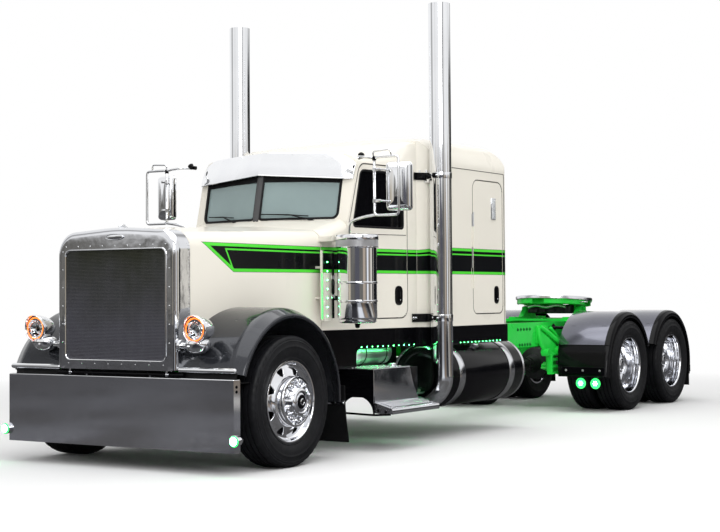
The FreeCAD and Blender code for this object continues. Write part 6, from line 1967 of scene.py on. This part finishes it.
def rail_hanger(form):
    """Cast spring hanger on the rail: bolted flange, gusset with a slot, and a ladder-shaped foot."""
    x = 0.4325
    flange = rounded_loop(places("x 5885 985, x 6150 985, x 6300 850, x 6300 775, x 5860 775", x=x), 0.03, 4)
    form.slab(flange, X * 0.014, 0.004, 2)
    form.tube(
        rounded(places("448 5955 968, 485 6080 905, 545 6250 790, 560 6390 690, 530 6400 640"), 0.06, 6),
        0.026, 14
    )
    form.tube(rounded(places("448 5905 955, 470 5900 800, 500 5960 700, 530 6100 650"), 0.06, 6), 0.024, 14)
    web = places("452 5930 930, 500 6130 800, 540 6330 680, 520 6200 640, 480 6000 680, 455 5910 760")
    form.slab(web, X * 0.012, 0.0)
    form.tube(rounded(places("470 6180 955, 500 6300 850, 545 6400 700"), 0.05), 0.018, 12)
    for back in (6.050, 6.372):
        form.block(pos(0.480, back, 0.425), (0.545, behind(back) + 0.042, 0.660), 0.008, 3)
    for z in (0.425, 0.500, 0.578, 0.640):
        form.block(pos(0.484, 6.060, z), pos(0.541, 6.400, z + 0.030), 0.007, 3)
    form.lathe(pos(0.470, 6.230, 0.690), X, "50 0, 56 4, 56 100, 50 104, 30 104, 28 96, 0 96", 28)
    form.lathe(pos(0.470, 5.960, 0.680), X, "40 0, 44 4, 44 85, 38 90, 0 90", 24)
    for back, z in mm("5905 960, 5900 800, 6090 962, 6262 812, 6120 800"):
        form.bolt(pos(x + 0.014, back, z), X, 0.012)
    form.index = 1
    for start, end, z in mm("5420 5720 948, 5460 5720 777, 6170 6420 952, 4500 4800 948, 4500 4800 800"):
        for index in range(5):
            form.bolt(pos(RAIL_SIDE, start + (end - start) * index / 4, z), X, 0.0125)


PLATE_LEAN = radians(4.0)
PLATE_PIVOT = 1.165
PLATE_SKIRT = 0.440


def plate_outline(reach, shrink):
    """Round plate with a throat that opens to the rear, as (X, Y) points drawn in by an amount."""
    radius, half_mouth, throat = reach - shrink, 0.172, 0.040 + shrink
    mouth = atan2(sqrt(radius**2 - half_mouth**2), half_mouth)
    angles = [mouth - (2 * mouth + pi) * step / 72 for step in range(73)]
    flank = mm("inset+150 330, inset+52 70, inset+44 10", inset=shrink)
    points = [(radius * cos(a), radius * sin(a)) for a in angles] + [(-x, y) for x, y in flank]
    points += [(throat * cos(a), throat * sin(a)) for a in (pi + pi * step / 8 for step in range(1, 8))]
    return points + flank[::-1]


def coupling_plate():
    """Fifth wheel's plate: flat top with a rounded rim and a throat, side skirts, ribs and ramps."""
    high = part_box("fifth_wheel_plate")[1]
    middle = Vector((0, behind(7.270), high.z))
    reach = min(high.x, 0.465)

    def at(x, y, z):
        return middle + Vector((x, y, z))

    form = Form()
    rim = mm("12 -40, 3 -40, 0 -36, 0 -10, 2 -4, 6 -0.8, 12 0")
    form.skin([[at(x, y, z) for x, y in plate_outline(reach, shrink)] for shrink, z in rim], caps=True)
    form.index = 1
    for start, end in ((100, 170), (190, 260), (280, 350), (10, 80)):
        arc = [radians(start + (end - start) * step / 14) for step in range(15)]
        wall = mm("448 -38, 448 -94, 440 -96, 440 -38")
        rows = [[at(radius * cos(a), radius * sin(a), z) for a in arc] for radius, z in wall]
        form.skin(rows, ring=False, closed=True)
    ribs = []
    for x in (-0.355, -0.255, 0.255, 0.355):
        run = sqrt(PLATE_SKIRT**2 - x**2) - 0.006
        ribs.append((x - 0.007, x + 0.007, -run, run))
    for y in (-0.300, -0.170):
        run = sqrt(PLATE_SKIRT**2 - y**2) - 0.006
        ribs.append((-run, run, y - 0.007, y + 0.007))
    run = sqrt(PLATE_SKIRT**2 - 0.180**2)
    ribs += mm("130 run 173 187, -run -130 173 187", run=run)
    for left, right, front, back in ribs:
        form.block(at(left, front, -0.096), at(right, back, -0.036), 0.002)
    for way in (1, -1):
        lug = [at(way * 0.293, y, z) for y, z in mm("-75 -40, 75 -40, 40 -150, -40 -150")]
        form.slab(lug, X * way * 0.022, 0.002, 1)
        pin = (way * 0.290, middle.y, PLATE_PIVOT)
        form.lathe(pin, X * way, "22.5 0, 40 0, 42 4, 42 24, 40 28, 22.5 28", 28)
    form.index = 0
    last = high.y - middle.y - 0.002
    for way in (1, -1):
        ramp = mm("160 405, 300 352, 330 395, 262 468, 176 500")
        ramp = [at(way * x, min(y, last), -0.006 - max(0.0, y - 0.36) * 0.42) for x, y in ramp]
        form.slab(ramp, -Z * 0.014)
    form.lathe(middle, Z, "26.2 -36, 60 -36, 86 -44, 86 -76, 60 -82, 26.2 -82", 40)
    handle = [at(*point) for point in mm("50 -60 -66, 220 -140 -66, 478 -160 -70")]
    form.tube(rounded(handle, 0.03), 0.009, 12)
    form.loop([at(0.492 + 0.022 * cos(a), -0.16 + 0.028 * sin(a), -0.070) for a in turns(20)], 0.0065, 8)
    form.index = 2
    for a in (35, 145, 215, 270, 325):
        spot = at(0.300 * cos(radians(a)), 0.300 * sin(radians(a)), -0.0006)
        form.lathe(spot, Z, "14 0, 13 1.2, 6 1.4, 0 1.4", 16)
    form.index = 0
    hose = [
        at(x, -0.200 + 0.05 * abs(x), -0.122 - 0.012 * cos(x * 22))
        for x in (k * 0.05 - 0.25 for k in range(11))
    ]
    form.tube(hose, 0.020, 14)
    form.index = 2
    form.block(at(-0.280, -0.140, -0.198), at(0.280, 0.020, -0.098), 0.012, 3)
    for x in (-0.16, -0.05, 0.07, 0.17):
        form.tube([at(x, -0.172, -0.172), at(x + 0.03, -0.10, -0.172)], 0.022, 12)
    pivot = Vector((0, middle.y, PLATE_PIVOT))
    lean = Matrix.Translation(pivot) @ Matrix.Rotation(-PLATE_LEAN, 4, "X") @ Matrix.Translation(-pivot)
    bmesh.ops.transform(form.mesh, matrix=lean, verts=form.mesh.verts)
    form.done(
        "coupling_plate", "fifth_wheel_plate", "polished_metal", "strap_metal green_paint cast_metal",
        replaces="fifth_wheel_plate"
    )


def rear_bar():
    """Closing plate, lamp bar with round red lamps, and two rubber flaps with bright weights at the foot."""
    low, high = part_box("rear_light_bar")
    back = high.y - 0.010
    form = Form()
    form.block((-0.330, back - 0.060, 0.770), (0.330, back, high.z - 0.001), 0.008, 3)
    form.block((low.x, back - 0.050, 0.690), (high.x, back, 0.750), 0.010, 3)
    form.lathe((0, back - 0.002, 0.868), Y, "0 1, 52 1, 60 5, 66 3, 70 -2", 40)
    form.index = 1
    for _, way in SIDES:
        for x in (0.150, 0.230, 0.480, 0.555):
            form.lathe((way * x, back - 0.002, 0.720), Y, "27 0, 27.5 6, 25.5 9, 23.5 7", 28)
        form.index = 2
        for x in (0.150, 0.230, 0.480, 0.555):
            form.lathe((way * x, back - 0.002, 0.720), Y, "23.8 5, 22.5 8.5, 14 10.5, 0 11", 28)
        form.index = 3
        rows = []
        for step in range(10):
            share = step / 9
            z = 0.691 - (0.691 - low.z) * share
            bow = 0.012 * sin(pi * share)
            front, rear = back - 0.030 - bow, back - 0.022 - bow
            rows.append([
                Vector((way * 0.150, front, z)), Vector((way * 0.375, front - 0.004, z)),
                Vector((way * 0.600, front, z)), Vector((way * 0.600, rear, z)),
                Vector((way * 0.375, rear - 0.004, z)), Vector((way * 0.150, rear, z))
            ])
        form.skin(rows, caps=True)
        form.index = 1
        ends = sorted((way * 0.152, way * 0.598))
        form.block((ends[0], back - 0.036, low.z + 0.004), (ends[1], back - 0.020, low.z + 0.050), 0.003)
        for x in (0.180, 0.300, 0.450, 0.570):
            form.bolt((way * x, back - 0.020, low.z + 0.027), Y, 0.007)
    form.index = 4
    for _, way in SIDES:
        for z in (0.805, 0.865, 0.930):
            form.bolt((way * 0.295, back, z), Y, 0.011)
    form.done(
        "rear_light_bar_detail", "chassis", "green_paint",
        "green_paint polished_metal red_lens flap_rubber bolt_paint", replaces="rear_light_bar"
    )


def rear_end():
    rear_bar()
    both(
        drive_fender, "drive_fender", "chassis", "dark_paint",
        "fender_paint black_paint seam_rubber black_paint intake_metal", replaces="drive_fenders"
    )
    both(fender_lamps, "fender_lamps", "chassis", "window_glass", "green_lamp led_core black_paint")
    both(rail_hanger, "rail_hanger", "chassis", "green_paint", "green_paint bolt_paint")
    coupling_plate()


# ---------------------------------------------------------------- soft goods in the cab and the sleeper

def pad(
    form, centre_at, across, along, up, width, length, height, crown, pinch=0.012, channels=(), corner=0.05,
    count=120
):
    """A stuffed closed form: crowned faces, sides that pull in between the corners, and a seam round it."""
    middle = Vector(centre_at)
    across, along, up = (Vector(way).normalized() for way in (across, along, up))
    base = polar(outline(oblong(0, 0, width, length, corner), 0.0, 8), (0.0, 0.0), count)
    rim = []
    for point in base:
        u, v = abs(point.x) / (width / 2), abs(point.y) / (length / 2)
        pull = pinch * (1 - min(u, v) ** 2)
        rim.append(point * (1 - pull / max(point.length, 0.01)))

    def face(way):
        rows = []
        for step in range(23):
            share = 1 - (step / 22) ** 1.35 if step else 1.0
            row = []
            for point in rim:
                spot = point * share
                u, v = spot.x / (width / 2), spot.y / (length / 2)
                swell = (1 - abs(u) ** 2.6) * (1 - abs(v) ** 2.6)
                lift = height / 2 * (1 - share**9) ** 0.5 + crown * max(swell, 0.0) ** 0.8
                wrinkle = 0.0016 * noise.noise(Vector((spot.x * 9, spot.y * 9, way * 3.0)))
                for offset in channels:
                    lift -= 0.010 * exp(-((spot.x - offset) / 0.012) ** 2) * min(1.0, swell * 3 + 0.1)
                row.append(middle + across * spot.x + along * spot.y + up * way * (lift + wrinkle * swell))
            rows.append(row if share > 1e-6 else [row[0]])
        return rows

    form.skin(face(1))
    form.skin(face(-1))
    form.index += 1
    form.loop([middle + across * point.x * 1.004 + along * point.y * 1.004 for point in rim], 0.0042, 8)
    form.index -= 1


def seats():
    """Driver's and passenger's seats: base, padded cushion, back, head rest and arm rests."""
    for side, way in SIDES:
        x = way * 0.455
        form = Form()
        form.block(pos(x - 0.180, 1.740, 1.097), pos(x + 0.180, 2.120, 1.150), 0.012, 3)
        rows = []
        for step in range(7):
            share = step / 6
            z = 1.150 + 0.190 * share
            grow = 0.012 * cos(pi * 2.5 * share) - 0.01
            box = oblong(x, behind(1.930), 0.320 + 2 * grow, 0.340 + 2 * grow, z)
            rows.append([Vector(corner) for corner in box])
        form.skin(rows, caps=True)
        form.block(pos(x - 0.215, 1.690, 1.340), pos(x + 0.215, 2.180, 1.378), 0.012, 3)
        form.slab(
            [pos(x - 0.205, back, z) for back, z in mm("2150 1380, 2215 1372, 2318 2080, 2262 2090")],
            X * 0.410, 0.01, 2
        )
        for arm in (1, -1):
            form.tube(
                rounded(
                    [
                        pos(x + arm * 0.232, 2.225, 1.640), pos(x + arm * 0.240, 2.110, 1.645),
                        pos(x + arm * 0.240, 1.900, 1.640)
                    ], 0.03
                ), [0.018] * 8, 14
            )
        form.done(f"{side}_seat_frame", "chassis", "trim_plastic", replaces="seats")
        lean = Vector((0, 0.145, 0.99)).normalized()
        for name, spot, along, up, length, width, height, crown, lines in (
            ("seat_cushion", pos(x, 1.915, 1.432), Y, Z, 0.475, 0.455, 0.085, 0.020, (-0.140, 0.140)),
            (
                "seat_back", pos(x, 2.165, 1.735), lean, Vector((0, -0.99, 0.145)), 0.560, 0.440, 0.085,
                0.018, (-0.130, 0.130)
            ),
            (
                "head_rest", pos(x, 2.225, 2.075), lean, Vector((0, -0.99, 0.145)), 0.120, 0.250, 0.070,
                0.012, ()
            )
        ):
            form = Form()
            pad(form, spot, X, along, up, width, length, height, crown, 0.012, lines)
            piece = form.done(
                f"{side}_{name}", "chassis", "seat_fabric", "seat_fabric seam_rubber", sharp=60,
                replaces="seats"
            )


def bunk():
    """Sleeper berth: base box with a lid line, a quilted mattress and two pillows."""
    form = Form()
    form.block(pos(-0.935, 3.190, 1.096), pos(0.935, 3.918, 1.522), 0.014, 3)
    form.block(pos(-0.940, 3.186, 1.440), pos(0.940, 3.196, 1.452), 0.003)
    for x in (-0.46, 0.46):
        form.block(pos(x - 0.16, 3.180, 1.20), pos(x + 0.16, 3.192, 1.40), 0.006, 3)
        form.tube(
            rounded(places("x-50 3186 1360, x-50 3168 1360, x+50 3168 1360, x+50 3186 1360", x=x), 0.012),
            0.006, 10
        )
    form.done("berth_base", "chassis", "trim_plastic", replaces="bunk")
    form = Form()
    lines = tuple(-0.80 + 0.20 * index for index in range(9))
    pad(form, pos(0, 3.550, 1.592), X, Y, Z, 1.930, 0.715, 0.110, 0.014, 0.010, lines, 0.07, 240)
    piece = form.done(
        "mattress", "chassis", "seat_fabric", "seat_fabric seam_rubber", sharp=60, replaces="bunk"
    )
    for side, way in SIDES:
        form = Form()
        pad(
            form, pos(way * 0.690, 3.560, 1.700), Vector((1, 0, way * -0.06)), Y, Vector((way * 0.06, 0, 1)),
            0.400, 0.560, 0.050, 0.045, 0.030, (), 0.05
        )
        piece = form.done(f"{side}_pillow", "chassis", "seat_fabric", "pillow_cloth seat_fabric", sharp=60)


def coat_cad():
    """Every CAD node takes the node material of its slot."""
    own = {"front_bumper": "bumper_metal", "grille_shell": "shell_metal"}
    own.update({f"{side}_door_glass": "dark_glass" for side, _ in SIDES})
    slots = {part["node"]: part["material_slot"] for part in frame["record"]["subparts"]}
    for name, node in frame["nodes"].items():
        material = MATERIALS[own.get(name, slots[name])]
        for index in range(len(node.material_slots)):
            node.material_slots[index].material = material


# ---------------------------------------------------------------- studio

BLACK, WHITE = (0.0, 0.0, 0.0), (1.0, 1.0, 1.0)
# What stands round the truck for its metal to reflect: first and last bearing, in degrees from +X, and colour
SURROUNDINGS = (
    (25, 37, (0.78, 0.74, 0.66)), (16, 22, (0.34, 0.29, 0.24)), (0, 11, (0.88, 0.90, 0.94)),
    (-24, -8, (0.46, 0.39, 0.32)), (-70, -44, (0.10, 0.10, 0.12)), (-112, -96, (0.52, 0.46, 0.36)),
    (112, 128, (0.60, 0.56, 0.48)), (150, 168, (0.90, 0.92, 0.96))
)
DARK_SIDE = (41, 100)
BRIGHT_GAP = (49.3, 51.3)
FLOOR_BANDS = (
    (-90, -62, (0.030, 0.030, 0.034)), (-58, -40, (0.60, 0.62, 0.66)), (-36, -22, (0.26, 0.20, 0.15)),
    (-14, 2, (0.040, 0.040, 0.046)), (6, 20, (0.62, 0.60, 0.56)), (24, 38, (0.30, 0.25, 0.20)),
    (104, 118, (0.045, 0.045, 0.050)), (124, 140, (0.50, 0.48, 0.44))
)


def sky():
    """White to the camera. To everything else, a bright sky over a ragged dark line with bands in it."""
    world = bpy.context.scene.world = bpy.data.worlds.new("studio")
    world.use_nodes = True
    world.node_tree.nodes.clear()
    nodes = Nodes(world.node_tree, "Generated")
    x, y, z = nodes.axes()
    bearing = nodes.math("ARCTAN2", y, x)

    def sector(start, end, soft=0.04):
        return nodes.within(bearing, radians(start), radians(end), soft)

    ragged = nodes.drift(7.0, 5.0, -0.035, 0.045)
    dark_side = sector(*DARK_SIDE)
    over = nodes.span(z - (ragged + dark_side * 0.09), 0.045, 0.085, 0.0, 1.0)
    line = nodes.mix(nodes.span(nodes.noise(26.0, 6.0), 0.32, 0.68, 0.07, 0.24), BLACK, (1.0, 0.97, 0.90))
    line = nodes.mix(dark_side, line, (0.012, 0.013, 0.015))
    for start, end, colour in SURROUNDINGS:
        line = nodes.mix(sector(start, end), line, colour)
    line = nodes.mix(sector(*BRIGHT_GAP, 0.010), line, (0.82, 0.78, 0.70))
    clouds = nodes.drift(2.2, 3.0, 0.84, 1.04)
    clouds = clouds * nodes.span(nodes.math("SINE", bearing * 3.0), -1.0, -0.72, 0.42, 1.0)
    seen = nodes.mix(over, line, nodes.mix(clouds, BLACK, WHITE))
    rays = nodes.add("LightPath").outputs
    mirrored = nodes.mix(rays["Is Glossy Ray"], (0.62, 0.62, 0.62), seen)
    light = nodes.add("Background", nodes.mix(rays["Is Camera Ray"], mirrored, WHITE), 1.0)
    nodes.fill(nodes.add("OutputWorld").inputs[0], light.outputs[0])


def floor():
    """Pale floor that fades to white. In the truck's metal it is worn stone with bands of light and dark."""
    shader = Shader("studio_floor", Roughness=0.9, Base_Color=(0.90, 0.90, 0.90))
    far = Value(shader, shader.add("VectorMath", shader.place, operation="LENGTH").outputs["Value"])
    fade = shader.span(far, 5.5, 11.0, 0.0, 1.0)
    rays = shader.add("LightPath").outputs
    share = fade * rays["Is Camera Ray"]
    white = shader.add("Emission", WHITE, 1.0)
    grit = shader.span(shader.noise(16.0, 8.0), 0.38, 0.62, 0.0, 1.0)
    stone = shader.mix(grit, (0.095, 0.095, 0.102), (0.225, 0.225, 0.235))
    worn = shader.span(shader.noise(0.42, 3.0, distortion=0.8), 0.40, 0.60, 0.0, 1.0)
    stone = shader.mix(worn, shader.mix(0.55, stone, (0.050, 0.046, 0.040)), stone)
    x, y, _ = shader.axes()
    bearing = shader.math("ARCTAN2", y, x)
    for start, end, colour in FLOOR_BANDS:
        band = shader.within(bearing, radians(start), radians(end), 0.05)
        stone = shader.mix(band * shader.span(far, 4.5, 6.5, 0.0, 1.0), stone, colour)
    grey = shader.add("BsdfDiffuse", stone)
    seen = shader.add("MixShader", rays["Is Glossy Ray"], shader.surface.outputs[0], grey.outputs[0])
    seen = shader.add("MixShader", share, seen.outputs[0], white.outputs[0])
    shader.fill(shader.tree.nodes["Material Output"].inputs[0], seen.outputs[0])
    mesh = bpy.data.meshes.new("floor")
    reach = 60.0
    corners = [(x * reach, y * reach, 0) for x, y in ((-1, -1), (1, -1), (1, 1), (-1, 1))]
    mesh.from_pydata(corners, [], [(0, 1, 2, 3)])
    mesh.materials.append(shader.material)
    placed("floor", mesh)


def lights():
    for name, place, aim, size, power in (
        ("top_light", (1.5, -2.0, 9.0), (0, 0, 1), (9.0, 13.0), 620.0),
        ("key_light", (9.0, -12.0, 6.5), (0, -1.5, 1.5), (7.0, 5.0), 520.0)
    ):
        light = bpy.data.lights.new(name, "AREA")
        light.shape = "RECTANGLE"
        light.size, light.size_y = size
        light.energy = power
        thing = placed(name, light)
        thing.location = place
        thing.rotation_euler = (Vector(aim) - Vector(place)).to_track_quat("-Z", "Y").to_euler()


def camera():
    """The photograph's camera."""
    data = bpy.data.cameras.new("camera")
    for key, value in (
        ("sensor_width", 36.0), ("lens", 76.147), ("shift_x", 0.01699), ("shift_y", -0.03057),
        ("clip_end", 200.0)
    ):
        setattr(data, key, value)
    yaw, pitch, roll = (radians(angle) for angle in (32.898, 1.918, -0.387))
    turned = Matrix.Rotation(yaw, 4, "Z") @ Matrix.Rotation(
        pi / 2 + pitch, 4, "X"
    ) @ Matrix.Rotation(roll, 4, "Z")
    thing = placed("camera", data)
    thing.matrix_world = Matrix.Translation((8.035, -13.838, 1.345)) @ turned
    bpy.context.scene.camera = thing


bpy.context.scene.view_settings.view_transform = "Standard"
coat_cad()
wheels()
front_end()
cab_front()
side_trim()
roof_fairing()
lower_body()
rear_end()
seats()
bunk()
sky()
floor()
lights()
camera()
